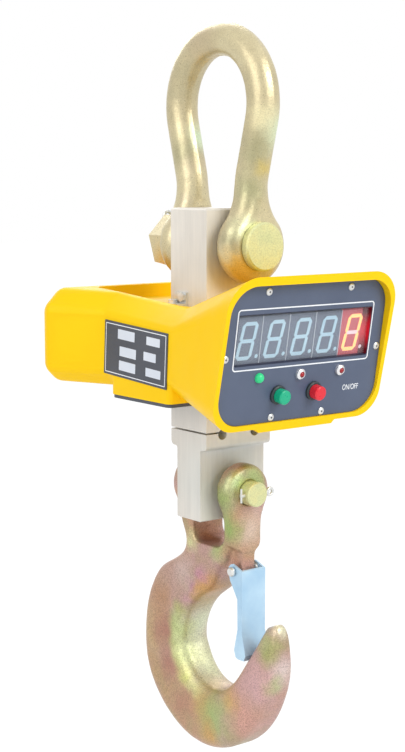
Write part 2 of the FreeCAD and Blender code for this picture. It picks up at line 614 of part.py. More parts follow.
def pan_screw(name, placement):
    """Pan head screw whose head sits on z = 0 of its placement and whose shank goes down."""
    return turned(name, [
        ("0", "-screw_long"), ("screw_dia / 2", "-screw_long"), ("screw_dia / 2", "0"),
        ("screw_head_dia / 2", "0"), ("screw_head_dia / 2", "screw_head * 0.45"),
        ("screw_head_dia / 2 - screw_edge", "screw_head"), ("0", "screw_head")], placement)


def hex_bolt(name, x, y, z, along):
    """Hexagon bolt: the head stands on (x, y, z) and points along, with the shank behind it."""
    turn = TURNS[along]
    start = Vector(size(x), size(y), size(z))
    head = doc.addObject("Part::Prism", name + "_head")
    head.Polygon = 6
    bind(head, Circumradius="bolt_flats / sqrt(3)", Height="bolt_head")
    head.Placement = Placement(start, turn)
    shank = doc.addObject("Part::Cylinder", name + "_shank")
    bind(shank, Radius="bolt_dia / 2", Height="bolt_long")
    shank.Placement = Placement(start - turn.multVec(Vector(0, 0, size("bolt_long"))), turn)
    return fuse(name, [head, shank])


def make_housing_trim():
    plate = new_body("bottom_plate")
    drawing = sketch(plate, "XY_Plane", "-belly_bottom")
    rounded_box(drawing, "-waist_half + plate_inset", "waist_half - plate_inset",
                "-belly_front + plate_inset", "belly_back - plate_inset", "belly_round",
                "belly_rear_round")
    square_box(drawing, "-bar_wide / 2 - bar_gap", "bar_wide / 2 + bar_gap",
               "-bar_deep / 2 - bar_gap", "bar_deep / 2 + bar_gap")
    for x, y in PLATE_SCREWS:
        circle(drawing, x, y, "screw_dia / 2")
    pad(plate, drawing, "plate_thick", Reversed=True)
    down = Rotation(Vector(1, 0, 0), 180)
    group("bottom_plate_screws", [
        pan_screw(f"plate_screw_{i}", Placement(
            Vector(size(x), size(y), -size("belly_bottom + plate_thick")), down))
        for i, (x, y) in enumerate(PLATE_SCREWS)])

    boot = new_body("cable_boot")
    drawing = sketch(boot, "XZ_Plane", "-bar_deep / 2")
    rounded_box(drawing, "-boot_half", "boot_half", "-belly_bottom - plate_thick - boot_drop",
                "-belly_bottom - plate_thick", "boot_round", "0.5")
    pad(boot, drawing, "boot_deep", Reversed=True)

    bracket = doc.addObject("PartDesign::Body", "bracket_body")
    bracket.Label = "bracket_right"
    drawing = sketch(bracket, "XZ_Plane", "-bracket_y")
    path(drawing, [
        ("bar_wide / 2", "-well_floor"), ("bar_wide / 2 + bracket_arm", "-well_floor"),
        ("bar_wide / 2 + bracket_arm", "-well_floor + bracket_thick"),
        ("bar_wide / 2 + bracket_thick", "-well_floor + bracket_thick"),
        ("bar_wide / 2 + bracket_thick", "-well_floor + bracket_arm"),
        ("bar_wide / 2", "-well_floor + bracket_arm")])
    pad(bracket, drawing, "bracket_long", Midplane=True)
    holes = sketch(bracket, "YZ_Plane", "bar_wide / 2")
    circle(holes, *BAR_BOLT, "bolt_dia / 2")
    pocket(bracket, holes, "bracket_thick", Reversed=True)
    holes = sketch(bracket, "XY_Plane", "-well_floor")
    circle(holes, *DECK_BOLT, "bolt_dia / 2")
    pocket(bracket, holes, "bracket_thick", Reversed=True)
    other = doc.addObject("Part::Mirroring", "bracket_left")
    other.Source = bracket
    other.Normal = Vector(1, 0, 0)
    group("bar_brackets", [bracket, other])
    bolts = []
    for side, along in (("", "X"), ("-", "-X")):
        bolts.append(hex_bolt(f"bar_bolt{side}", f"{side}(bar_wide / 2 + bracket_thick)", *BAR_BOLT,
                              along))
        bolts.append(hex_bolt(f"deck_bolt{side}", side + DECK_BOLT[0], DECK_BOLT[1],
                              "-well_floor + bracket_thick", "Z"))
    group("bracket_bolts", bolts)

    data_plate = new_body("data_plate")
    drawing = sketch(data_plate, "YZ_Plane")
    rounded_box(drawing, "-data_plate_long / 2", "data_plate_long / 2", "-data_plate_high / 2",
                "data_plate_high / 2", "0.6")
    pad(data_plate, drawing, "data_plate_thick", Reversed=True)
    data_plate.Placement = Placement(
        Vector(-size("waist_half"), size("data_plate_y"), size("data_plate_z")),
        Rotation(Vector(1, 0, 0), size("data_plate_turn")))


def make_battery_bay():
    rear = "rear_face - cover_thick"
    gasket = new_body("cover_gasket")
    drawing = sketch(gasket, "XZ_Plane", f"-({rear})")
    rounded_box(drawing, "-cover_half + 0.2", "cover_half - 0.2", "-cover_bottom + 0.2",
                "-cover_top - 0.2", "cover_round - 0.2")
    rounded_box(drawing, "-rear_cavity_half", "rear_cavity_half", "-rear_cavity_low",
                "-rear_cavity_high", "rear_cavity_round")
    for x, z in COVER_SCREWS:
        circle(drawing, x, z, "screw_dia / 2")
    pad(gasket, drawing, "gasket_thick")

    cover = new_body("rear_cover")
    drawing = sketch(cover, "XZ_Plane", "-rear_face")
    rounded_box(drawing, "-cover_half", "cover_half", "-cover_bottom", "-cover_top",
                "cover_round - 0.3")
    for x, z in COVER_SCREWS:
        circle(drawing, x, z, "screw_dia / 2")
    circle(drawing, "socket_x", "-socket_z", "socket_dia / 2")
    pad(cover, drawing, "cover_thick")
    back = Rotation(Vector(1, 0, 0), -90)
    group("rear_cover_screws", [
        pan_screw(f"cover_screw_{i}", Placement(Vector(size(x), size("rear_face"), size(z)), back))
        for i, (x, z) in enumerate(COVER_SCREWS)])
    node(turned("socket_turned", [
        ("0", "-socket_deep"), ("socket_dia / 2", "-socket_deep"), ("socket_dia / 2", "0"),
        ("socket_flange / 2", "0"), ("socket_flange / 2", "socket_proud"),
        ("jack_dia / 2", "socket_proud"), ("jack_dia / 2", "-jack_deep"), ("0", "-jack_deep")],
        Placement(Vector(size("socket_x"), size("rear_face"), -size("socket_z")), back)),
        "charge_socket")

    battery = new_body("battery")
    drawing = sketch(battery, "XZ_Plane", "-rear_face + rear_cavity_deep")
    rounded_box(drawing, "-battery_long / 2 - battery_x", "battery_long / 2 - battery_x",
                "-rear_cavity_low + 0.5", "-rear_cavity_low + 0.5 + battery_high", "3")
    pad(battery, drawing, "battery_deep", Reversed=True)


# ---------------------------------------------------------------- display face
def make_display():
    panel = new_body("display_panel")
    drawing = sketch(panel, "XY_Plane", "-panel_thick")
    rounded_box(drawing, "-panel_half", "panel_half", "-panel_bottom", "panel_top", "panel_round")
    rounded_box(drawing, "-window_half", "window_half", "-window_low", "window_high",
                "window_round")
    for x, y in PANEL_SCREWS:
        circle(drawing, x, y, "screw_dia / 2")
    for x in ("green_x", "red_x"):
        circle(drawing, x, "button_y", "barrel_dia / 2")
    for x in ("steady_x", "low_x", "charge_x"):
        circle(drawing, x, "lamp_y", "bezel_barrel / 2")
    pad(panel, drawing, "panel_thick")
    panel.Placement = PANEL
    group("panel_screws", [pan_screw(f"panel_screw_{i}", on_panel(x, y))
                           for i, (x, y) in enumerate(PANEL_SCREWS)])

    pane = new_body("display_window")
    drawing = sketch(pane, "XY_Plane", "-panel_thick - pane_thick")
    square_box(drawing, "-window_half - pane_lap", "window_half + pane_lap",
               "-window_low - pane_lap", "window_high + pane_lap")
    pad(pane, drawing, "pane_thick")
    pane.Placement = PANEL

    for place in range(5):
        digit = new_body(f"digit_{place + 1}")
        drawing = sketch(digit, "XY_Plane", "-digit_recess - digit_thick")
        half = "(digit_pitch / 2 - 0.05)"
        square_box(drawing, f"-{half}", half, "digit_y - digit_high / 2", "digit_y + digit_high / 2")
        pad(digit, drawing, "digit_thick")
        dress(digit, "Chamfer", "0.5", lambda edge: flat_at(edge, "Z", -size("digit_recess")))
        digit.Placement = on_panel(f"{place - 2} * digit_pitch")

    back = "digit_recess + digit_thick"
    spacers = (("-70", "27.5"), ("70", "27.5"), ("-70", "-27.2"), ("70", "-27.2"))
    board = new_body("display_board")
    drawing = sketch(board, "XY_Plane", f"-({back}) - board_thick")
    square_box(drawing, "-board_half", "board_half", "-board_low", "board_high")
    pad(board, drawing, "board_thick")
    board.Placement = PANEL
    group("board_spacers", [
        turned(f"spacer_{i}", [("0", f"-({back})"), ("spacer_dia / 2", f"-({back})"),
                               ("spacer_dia / 2", "-panel_thick"), ("0", "-panel_thick")],
               on_panel(x, y)) for i, (x, y) in enumerate(spacers)])
    main = new_body("main_board")
    drawing = sketch(main, "XY_Plane", "-main_board_drop - board_thick")
    square_box(drawing, "-main_board_half", "main_board_half", "-main_board_low", "main_board_high")
    pad(main, drawing, "board_thick")
    main.Placement = PANEL
    behind = f"{back} + board_thick"
    posts = (("-55", "7"), ("55", "7"), ("-55", "-24"), ("55", "-24"))
    group("board_posts", [
        turned(f"post_{i}", [("0", "-main_board_drop"), ("spacer_dia / 2", "-main_board_drop"),
                             ("spacer_dia / 2", f"-({behind})"), ("0", f"-({behind})")],
               on_panel(x, y)) for i, (x, y) in enumerate(posts)])


def make_buttons():
    bore = "cap_dia / 2 + cap_play"
    for colour in ("green", "red"):
        spot = on_panel(f"{colour}_x", "button_y")
        node(turned(f"{colour}_barrel_turned", [
            ("0", "-barrel_deep"), ("barrel_dia / 2", "-barrel_deep"), ("barrel_dia / 2", "0"),
            ("collar_dia / 2", "0"), ("collar_dia / 2", "collar_high - collar_edge"),
            ("collar_dia / 2 - collar_edge", "collar_high"), (bore, "collar_high"),
            (bore, "-cap_root - cap_travel - cap_room"), ("0", "-cap_root - cap_travel - cap_room")],
            spot),
            f"{colour}_button_barrel")
        node(turned(f"{colour}_cap_turned", [
            ("0", "-cap_root"), ("cap_dia / 2", "-cap_root"), ("cap_dia / 2", "cap_rise - cap_edge"),
            ("cap_dia / 2 - cap_edge", "cap_rise"), ("0", "cap_rise")], spot), f"{colour}_button_cap")
        under = "-panel_thick"
        node(turned(f"{colour}_nut_turned", [
            ("barrel_dia / 2", f"{under} - ring_nut_thick"),
            ("ring_nut_dia / 2", f"{under} - ring_nut_thick"),
            ("ring_nut_dia / 2", under), ("barrel_dia / 2", under)], spot),
            f"{colour}_button_nut")


def make_lamps():
    dome = "(steady_high - steady_flank)"
    node(turned("steady_turned", [
        ("0", "-lamp_deep"), ("bezel_barrel / 2", "-lamp_deep"), ("bezel_barrel / 2", "0"),
        ("steady_dia / 2", "0"),
        ("steady_dia / 2", "steady_flank", f"(steady_dia^2 / 4 + {dome}^2) / (2 * {dome})"),
        ("0", "steady_high")], on_panel("steady_x", "lamp_y")), "steady_lamp")
    tip = "bezel_high + lamp_rise"
    for name in ("low", "charge"):
        node(turned(f"{name}_turned", [
            ("0", "-lamp_deep"), ("lamp_dia / 2", "-lamp_deep"),
            ("lamp_dia / 2", f"{tip} - lamp_dia / 2", "lamp_dia / 2"), ("0", tip)],
            on_panel(f"{name}_x", "lamp_y")), f"{name}_lamp")
    group("lamp_bezels", [
        turned(f"{name}_bezel", [
            ("lamp_dia / 2", "-bezel_deep"), ("bezel_barrel / 2", "-bezel_deep"),
            ("bezel_barrel / 2", "0"), ("bezel_dia / 2", "0"), ("bezel_dia / 2", "bezel_high - 1.2"),
            ("lamp_dia / 2 + 0.5", "bezel_high"), ("lamp_dia / 2", "bezel_high")],
            on_panel(f"{name}_x", "lamp_y")) for name in ("low", "charge")])


# ---------------------------------------------------------------- clevis hook
# level sections down the neck: height, front and back edge, half thickness, corner radius
NECK = ((-388, -20, 37, 18.4, 8.5), (-404, -26, 33.6, 17.6, 8.5), (-421, -24, 34, 18.5, 11.0),
        (-440, -10, 62, 19.5, 12.0), (-460, 8.5, 80, 19.5, 12.0), (-479, 27.5, 88, 19.5, 12.0))
# sections round the bowl: angle, inner and outer radius, half thickness, corner radius
BOWL = ((0, 38.5, 94.5, 19.5, 12.0), (-25, 38.5, 99, 19.5, 12.0), (-50, 39, 98, 19.8, 12.5),
        (-75, 39.5, 96, 20, 12.5), (-100, 40, 91.5, 20, 12.0), (-125, 40, 84.5, 19.5, 11.0),
        (-150, 40.5, 79.5, 17.5, 10.0), (-168, 43.5, 79.5, 15, 8.5), (-183, 50, 80.5, 12.5, 7.5),
        (-193, 57.5, 82.5, 10, 6.5), (-200, 65, 83.5, 7.6, 5.8), (-203.5, 69.5, 81.5, 5, 4.2))


def ear_outline(drawing, radius, half, foot):
    """A round head over the pin, drawn in to its arm through hollow curves; foot lists its lower end."""
    reach, side = f"({radius} + ear_blend)", f"({half} + ear_blend)"
    drop = f"sqrt({reach}^2 - {side}^2)"
    touch_x, touch_z = f"{side} * {radius} / {reach}", f"-hook_drop - {drop} * {radius} / {reach}"
    path(drawing, foot + [
        (half, f"-hook_drop - {drop}", "-ear_blend"), (touch_x, touch_z, radius),
        ("0", f"-hook_drop + {radius}", radius), (f"-{touch_x}", touch_z, "-ear_blend"),
        (f"-{half}", f"-hook_drop - {drop}")])


def is_ear_rim(edge):
    """Whether an edge runs round the outer face of an ear, above the slanted foot."""
    outer = size("ear_outer")
    return (flat_at(edge, "Y", outer) or flat_at(edge, "Y", -outer)) and (
        edge.BoundBox.ZMax > -size("rear_foot") and edge.BoundBox.ZLength > 0.01
        or edge.BoundBox.XLength < 0.01)


def make_hook():
    body = new_body("hook")
    rear = sketch(body, "XZ_Plane")
    ear_outline(rear, "rear_ear_radius", "rear_arm_half",
                [("-rear_arm_half", "-rear_foot"), ("rear_arm_half", "-rear_foot")])
    pad(body, rear, "ear_outer", Reversed=True)
    front = sketch(body, "XZ_Plane")
    ear_outline(front, "front_ear_radius", "front_arm_half", [
        ("-front_arm_half", "-front_foot + foot_rise"), ("-foot_half", "-front_foot"),
        ("foot_half", "-front_foot"), ("front_arm_half", "-front_foot + foot_rise")])
    pad(body, front, "ear_outer")
    dress(body, "Fillet", "ear_round", is_ear_rim)
    taper = sketch(body, "YZ_Plane")
    path(taper, [("ear_outer", "-taper_top"), ("taper_foot", "-rear_foot"),
                 ("ear_outer + 1", "-rear_foot"), ("ear_outer + 1", "-taper_top")])
    pocket(body, taper, None, Midplane=True)

    def section(y, z, angle, near, far, half, corner):
        made = body.newObject("Sketcher::SketchObject", "hook_section")
        made.AttachmentSupport = [(origin_plane(body, "XY_Plane"), "")]
        made.MapMode = "FlatFace"
        made.AttachmentOffset = Placement(Vector(0, y, z), Rotation(Vector(1, 0, 0), angle))
        rounded_box(made, f"-{half}", half, near, far, corner)
        return made
    bowl_y, bowl_z = size("bowl_y"), size("bowl_z")
    sections = [section(0, z, 0, *rest) for z, *rest in NECK]
    sections += [section(bowl_y, bowl_z, angle, *rest) for angle, *rest in BOWL]
    loft(body, sections, ruled=False)

    crotch = sketch(body, "YZ_Plane")
    rounded_box(crotch, "-front_ear_inner", "rear_ear_inner", "-crotch", "-hook_drop + 2 * rear_ear_radius",
                "crotch_round", "2")
    pocket(body, crotch, None, Midplane=True)
    lug = sketch(body, "YZ_Plane")
    path(lug, [
        ("latch_y + lug_radius", "latch_z", "-lug_radius"), ("latch_y", "latch_z - lug_radius", "-lug_radius"),
        ("latch_y - lug_radius", "latch_z"), ("-ear_outer + 2", "-front_foot + 5"),
        ("-front_ear_inner + 1", "-front_foot + 5"), ("-15", "-front_foot - 6"),
        ("-15", "latch_z - 2")])
    pad(body, lug, "2 * lug_half", Midplane=True)
    bores = sketch(body, "XZ_Plane")
    circle(bores, "0", "-hook_drop", "hook_pin_dia / 2")
    pocket(body, bores, None, Midplane=True)
    pivot = sketch(body, "YZ_Plane")
    circle(pivot, "latch_y", "latch_z", "latch_pin_dia / 2")
    pocket(body, pivot, None, Midplane=True)

    pin = turned("hook_pin_turned", [
        ("0", "0"), ("hook_pin_dia / 2 - 1", "0"), ("hook_pin_dia / 2", "1"),
        ("hook_pin_dia / 2", "hook_pin_face + hook_pin_back"),
        ("hook_head_dia / 2", "hook_pin_face + hook_pin_back"),
        ("hook_head_dia / 2", "hook_pin_face + hook_pin_back + hook_head - 1"),
        ("hook_head_dia / 2 - 1", "hook_pin_face + hook_pin_back + hook_head"),
        ("0", "hook_pin_face + hook_pin_back + hook_head")])
    place_at(pin, "0", "-hook_pin_face", "-hook_drop", "Y")
    hole = rod("hook_pin_hole", "cotter_dia / 2 + 0.1", "2 * hook_pin_dia", x="-hook_pin_dia",
               y="-hook_pin_face + cotter_inset", z="-hook_drop", along="X")
    node(cut("hook_pin_drilled", pin, hole), "hook_pin")
    node(make_split_pin("hook_split", "cotter_dia", "hook_pin_dia / 2",
                        "-hook_pin_face + cotter_inset", "-hook_drop"), "hook_split_pin")


def latch_outline(drawing, web, top):
    """Side view of the pressed latch: web in front, lobe round its pin, toe that rests on the tip."""
    path(drawing, [
        ("latch_y", "latch_z + latch_lobe", "-latch_lobe"),
        ("latch_y + latch_lobe", "latch_z"), ("latch_y + latch_lobe - 2", "latch_z - 8"),
        ("-38.6", "-452"), ("-39", "-478"), ("-34.5", "-497"), ("-36.5", "-latch_end + 1.2"),
        ("-39", "-latch_end"), (f"{web} - 2.5", "-latch_end"),
        (f"{web} - 4.8", "-latch_end + 5"), (web, "-480"), (web, top)])


def make_latch():
    body = new_body("latch")
    drawing = sketch(body, "YZ_Plane")
    latch_outline(drawing, "web_y", "latch_z + 2")
    pad(body, drawing, "2 * latch_half", Midplane=True)
    hollow = sketch(body, "YZ_Plane")
    path(hollow, [
        ("web_y + latch_wall", "latch_z + 20"), ("0", "latch_z + 20"), ("0", "-latch_end - 5"),
        ("web_y - 0.9", "-latch_end - 5"), ("web_y - 0.9", "-latch_end"),
        ("web_y - 3", "-latch_end + 4.6"), ("web_y + latch_wall", "-480")])
    pocket(body, hollow, "2 * latch_half - 2 * latch_wall", Midplane=True)
    pivot = sketch(body, "YZ_Plane")
    circle(pivot, "latch_y", "latch_z", "latch_pin_dia / 2 + pin_play")
    pocket(body, pivot, None, Midplane=True)
    reach, head, wide, edge = "latch_pin_half", "latch_pin_head", "rivet_dia / 2", "rivet_edge"
    rivet = turned("latch_rivet", [
        ("0", f"-{reach} - {head}"), (f"{wide} - {edge}", f"-{reach} - {head}"),
        (wide, f"-{reach} - {edge}"), (wide, f"-{reach} + {edge}"),
        ("latch_pin_dia / 2", f"-{reach} + {edge}"), ("latch_pin_dia / 2", f"{reach} - {edge}"),
        (wide, f"{reach} - {edge}"), (wide, f"{reach} + {edge}"),
        (f"{wide} - {edge}", f"{reach} + {head}"), ("0", f"{reach} + {head}")])
    node(place_at(rivet, "0", "latch_y", "latch_z", "X"), "latch_pin")
    # torsion spring beside the lug, with one leg pressed on the web
    spiral = doc.addObject("Part::Helix", "spring_spiral")
    bind(spiral, Pitch="spring_wire * 1.2", Height="spring_wire * 2.4", Radius="spring_radius")
    wire = doc.addObject("Part::Circle", "spring_section")
    bind(wire, Radius="spring_wire / 2")
    wire.Placement = Placement(Vector(size("spring_radius"), 0, 0), Rotation(Vector(1, 0, 0), 90))
    coil = doc.addObject("Part::Sweep", "spring_coil")
    coil.Sections = [wire]
    coil.Spine = (spiral, [])
    coil.Solid = True
    coil.Frenet = True
    leg = doc.addObject("Part::Cylinder", "spring_leg")
    bind(leg, Radius="spring_wire / 2", Height="spring_leg")
    leg.Placement = Placement(
        Vector(size("spring_radius"), 0, 0), Rotation(Vector(0, 0, 1), Vector(0.24, 0.97, 0)))
    spring = fuse("spring_fused", [coil, leg])
    spring.Placement = Placement(
        Vector(size("lug_half + spring_wire * 0.65"), size("latch_y"), size("latch_z")),
        Rotation(Vector(1, 1, 1), 120).multiply(Rotation(Vector(0, 0, 1), 180)))
    node(spring, "latch_spring")


# ---------------------------------------------------------------- build, check and write
make_shackle()
make_load_cell()
make_housing()
make_housing_trim()
make_battery_bay()
make_display()
make_buttons()
make_lamps()
make_hook()
make_latch()
doc.recompute()

for thing in doc.Objects:
    if {"Invalid", "Error"} & set(thing.State):
        raise RuntimeError(f"{thing.Label} failed: {thing.State}")
os.makedirs("parts", exist_ok=True)
for thing in NODES:
    if thing.Shape.isNull() or not thing.Shape.isValid():
        raise RuntimeError(f"{thing.Label} has no valid shape")
for thing in NODES:
    thing.Shape.exportStep(f"parts/{thing.Label}.step")
    print(f"{thing.Label}: {len(thing.Shape.Solids)} solid(s), {thing.Shape.Volume / 1000:.1f} cm3")
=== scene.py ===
import math
import bmesh
import bpy
from mathutils import Matrix, Vector


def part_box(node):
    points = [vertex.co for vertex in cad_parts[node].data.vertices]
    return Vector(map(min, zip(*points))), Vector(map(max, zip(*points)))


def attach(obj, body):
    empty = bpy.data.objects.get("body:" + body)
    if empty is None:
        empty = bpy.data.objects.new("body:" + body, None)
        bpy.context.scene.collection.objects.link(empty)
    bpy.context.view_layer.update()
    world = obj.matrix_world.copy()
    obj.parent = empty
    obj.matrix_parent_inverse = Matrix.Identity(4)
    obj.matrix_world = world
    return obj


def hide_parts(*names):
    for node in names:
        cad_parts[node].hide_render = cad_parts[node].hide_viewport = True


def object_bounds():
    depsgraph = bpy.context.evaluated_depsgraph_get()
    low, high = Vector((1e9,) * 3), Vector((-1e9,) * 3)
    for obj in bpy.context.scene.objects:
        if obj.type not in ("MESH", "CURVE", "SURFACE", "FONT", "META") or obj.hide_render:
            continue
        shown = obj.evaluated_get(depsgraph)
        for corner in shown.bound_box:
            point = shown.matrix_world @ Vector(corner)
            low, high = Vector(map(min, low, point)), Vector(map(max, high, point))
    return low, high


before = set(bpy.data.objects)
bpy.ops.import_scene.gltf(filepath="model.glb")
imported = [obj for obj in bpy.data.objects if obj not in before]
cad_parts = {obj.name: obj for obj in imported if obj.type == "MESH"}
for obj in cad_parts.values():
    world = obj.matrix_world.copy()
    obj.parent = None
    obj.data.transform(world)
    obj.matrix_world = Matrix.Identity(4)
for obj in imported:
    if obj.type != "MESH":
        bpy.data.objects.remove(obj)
cadLow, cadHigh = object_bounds()
mm = 0.001
print("frame loaded:", len(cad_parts), "nodes")

# camera, light and stage
view = {"place": (-0.8087, -1.0109, -0.0966), "turn": 37.97, "down": 7.51, "lens": 73.47,
        "sensor": 36, "near": 0.05, "far": 60}
studio = {
    "key": {"place": (0.5, -1.8, 1.0), "size": 1.1, "power": 27, "colour": (1.0, 0.99, 0.97)},
    "fill": {"place": (-1.8, -0.3, 0.7), "size": 1.5, "power": 15, "colour": (1.0, 0.99, 0.97)},
    "rim": {"place": (0.6, 1.4, 0.8), "size": 1.2, "power": 12, "colour": (1.0, 1.0, 1.0)},
    "ambient": 0.62, "floorDrop": 0.34, "floorSize": 30.0, "floorGlow": 1.12, "floorShare": 0.85,
}


def makeCamera():
    data = bpy.data.cameras.new("viewCamera")
    data.lens = view["lens"]
    data.sensor_width = view["sensor"]
    data.clip_start = view["near"]
    data.clip_end = view["far"]
    camera = bpy.data.objects.new("viewCamera", data)
    bpy.context.collection.objects.link(camera)
    camera.location = view["place"]
    camera.rotation_euler = (math.radians(90 - view["down"]), 0, math.radians(-view["turn"]))
    bpy.context.scene.camera = camera


def makeLamp(name, spec, aim):
    data = bpy.data.lights.new(name, "AREA")
    data.size = spec["size"]
    data.energy = spec["power"]
    data.color = spec["colour"]
    lamp = bpy.data.objects.new(name, data)
    bpy.context.collection.objects.link(lamp)
    lamp.location = spec["place"]
    lamp.rotation_euler = (aim - lamp.location).to_track_quat("-Z", "Y").to_euler()


# 1 for what the camera sees straight, in metal or through glass
def seenOrMirrored(tree):
    rays = tree.nodes.new("ShaderNodeLightPath")
    factor = rays.outputs["Is Camera Ray"]
    for kind in ("Is Glossy Ray", "Is Transmission Ray"):
        either = tree.nodes.new("ShaderNodeMath")
        either.operation = "MAXIMUM"
        tree.links.new(factor, either.inputs[0])
        tree.links.new(rays.outputs[kind], either.inputs[1])
        factor = either.outputs[0]
    return factor


def makeWorld():
    world = bpy.data.worlds.new("paleStudio")
    bpy.context.scene.world = world
    world.use_nodes = True
    tree = world.node_tree
    tree.nodes.clear()
    soft = tree.nodes.new("ShaderNodeBackground")
    soft.inputs["Color"].default_value = (0.97, 0.985, 1.0, 1)
    soft.inputs["Strength"].default_value = studio["ambient"]
    white = tree.nodes.new("ShaderNodeBackground")
    white.inputs["Color"].default_value = (1, 1, 1, 1)
    mix = tree.nodes.new("ShaderNodeMixShader")
    out = tree.nodes.new("ShaderNodeOutputWorld")
    tree.links.new(seenOrMirrored(tree), mix.inputs[0])
    tree.links.new(soft.outputs[0], mix.inputs[1])
    tree.links.new(white.outputs[0], mix.inputs[2])
    tree.links.new(mix.outputs[0], out.inputs["Surface"])


def makeFloor():
    bpy.ops.mesh.primitive_plane_add(size=studio["floorSize"],
                                     location=(0, 0, cadLow[2] - studio["floorDrop"]))
    floor = bpy.context.object
    floor.name = "studioFloor"
    paint = bpy.data.materials.new("paleFloor")
    paint.use_nodes = True
    tree = paint.node_tree
    shader = tree.nodes["Principled BSDF"]
    shader.inputs["Base Color"].default_value = (0.9, 0.9, 0.9, 1)
    shader.inputs["Roughness"].default_value = 0.8
    glow = tree.nodes.new("ShaderNodeEmission")
    glow.inputs["Strength"].default_value = studio["floorGlow"]
    share = tree.nodes.new("ShaderNodeMath")
    share.operation = "MULTIPLY"
    share.inputs[1].default_value = studio["floorShare"]  # the rest keeps the object's shadow
    mix = tree.nodes.new("ShaderNodeMixShader")
    tree.links.new(seenOrMirrored(tree), share.inputs[0])
    tree.links.new(share.outputs[0], mix.inputs[0])
    tree.links.new(shader.outputs[0], mix.inputs[1])
    tree.links.new(glow.outputs[0], mix.inputs[2])
    tree.links.new(mix.outputs[0], tree.nodes["Material Output"].inputs["Surface"])
    floor.data.materials.append(paint)


makeCamera()
middle = Vector((0, 0, (cadLow[2] + cadHigh[2]) / 2))
for lampName in ("key", "fill", "rim"):
    makeLamp(lampName + "Lamp", studio[lampName], middle)
makeWorld()
makeFloor()
bpy.context.scene.view_settings.view_transform = "Standard"
print("camera and studio ready")


# colours are written as on a paint card and turned into linear light
def tint(code):
    shades = [int(code[i:i + 2], 16) / 255 for i in (1, 3, 5)]
    return tuple(s / 12.92 if s <= 0.04045 else ((s + 0.055) / 1.055) ** 2.4 for s in shades)


def newMaterial(name, colour, metallic=0.0, roughness=0.5, **sockets):
    made = bpy.data.materials.new(name)
    made.use_nodes = True
    shader = made.node_tree.nodes["Principled BSDF"]
    shader.inputs["Base Color"].default_value = (*tint(colour), 1)
    shader.inputs["Metallic"].default_value = metallic
    shader.inputs["Roughness"].default_value = roughness
    for socket, value in sockets.items():
        shader.inputs[socket.replace("_", " ")].default_value = value
    return made


def feed(made, **sockets):
    shader = made.node_tree.nodes["Principled BSDF"]
    for socket, source in sockets.items():
        made.node_tree.links.new(source, shader.inputs[socket.replace("_", " ")])


def noiseAt(tree, scale, detail=3.0, roughness=0.55, stretch=(1, 1, 1), output="Fac"):
    where = tree.nodes.new("ShaderNodeTexCoord")
    mapping = tree.nodes.new("ShaderNodeMapping")
    mapping.inputs["Scale"].default_value = stretch
    noise = tree.nodes.new("ShaderNodeTexNoise")
    noise.inputs["Scale"].default_value = scale
    noise.inputs["Detail"].default_value = detail
    noise.inputs["Roughness"].default_value = roughness
    tree.links.new(where.outputs["Object"], mapping.inputs["Vector"])
    tree.links.new(mapping.outputs[0], noise.inputs["Vector"])
    return noise.outputs[output]


def ramp(tree, source, stops):
    node = tree.nodes.new("ShaderNodeValToRGB")
    tree.links.new(source, node.inputs["Fac"])
    band = node.color_ramp
    while len(band.elements) < len(stops):
        band.elements.new(0.5)
    for element, (place, colour) in zip(band.elements, stops):
        element.position = place
        element.color = (*(tint(colour) if isinstance(colour, str) else colour), 1)
    return node.outputs["Color"]


def greys(tree, source, low, high, start=0.3, end=0.7):
    return ramp(tree, source, [(start, (low,) * 3), (end, (high,) * 3)])


def spread(tree, source, colours, start=0.3, end=0.72):  # even steps through a row of colours
    step = (end - start) / max(len(colours) - 1, 1)
    return ramp(tree, source, [(start + step * i, colour) for i, colour in enumerate(colours)])


def mixColour(tree, factor, first, second, kind="MIX"):
    node = tree.nodes.new("ShaderNodeMix")
    node.data_type = "RGBA"
    node.blend_type = kind
    for socket, value in ((0, factor), (6, first), (7, second)):
        if hasattr(value, "links"):
            tree.links.new(value, node.inputs[socket])
        elif socket == 0:
            node.inputs[0].default_value = value
        else:
            node.inputs[socket].default_value = (*tint(value), 1)
    return node.outputs[2]


def bumpFrom(tree, height, strength, distance):
    node = tree.nodes.new("ShaderNodeBump")
    node.inputs["Strength"].default_value = strength
    node.inputs["Distance"].default_value = distance
    tree.links.new(height, node.inputs["Height"])
    return node.outputs["Normal"]


def vectorMath(tree, operation, first, second):
    node = tree.nodes.new("ShaderNodeVectorMath")
    node.operation = operation
    tree.links.new(first, node.inputs[0])
    if operation == "SCALE":
        node.inputs["Scale"].default_value = second
    elif hasattr(second, "links"):
        tree.links.new(second, node.inputs[1])
    else:
        node.inputs[1].default_value = second
    return node.outputs["Value" if operation == "DISTANCE" else "Vector"]


patchEdge = {"scale": 45.0, "detail": 3.0, "rough": 0.6, "fade": 1.6, "strength": 0.85}


# object coordinates pushed about by a noise, so that a patch has an uneven edge
def cloudedPlace(tree, amount):
    push = noiseAt(tree, patchEdge["scale"], patchEdge["detail"], patchEdge["rough"],
                   output="Color")
    push = vectorMath(tree, "SUBTRACT", push, (0.5, 0.5, 0.5))
    push = vectorMath(tree, "SCALE", push, amount)
    where = tree.nodes.new("ShaderNodeTexCoord")
    return vectorMath(tree, "ADD", where.outputs["Object"], push)


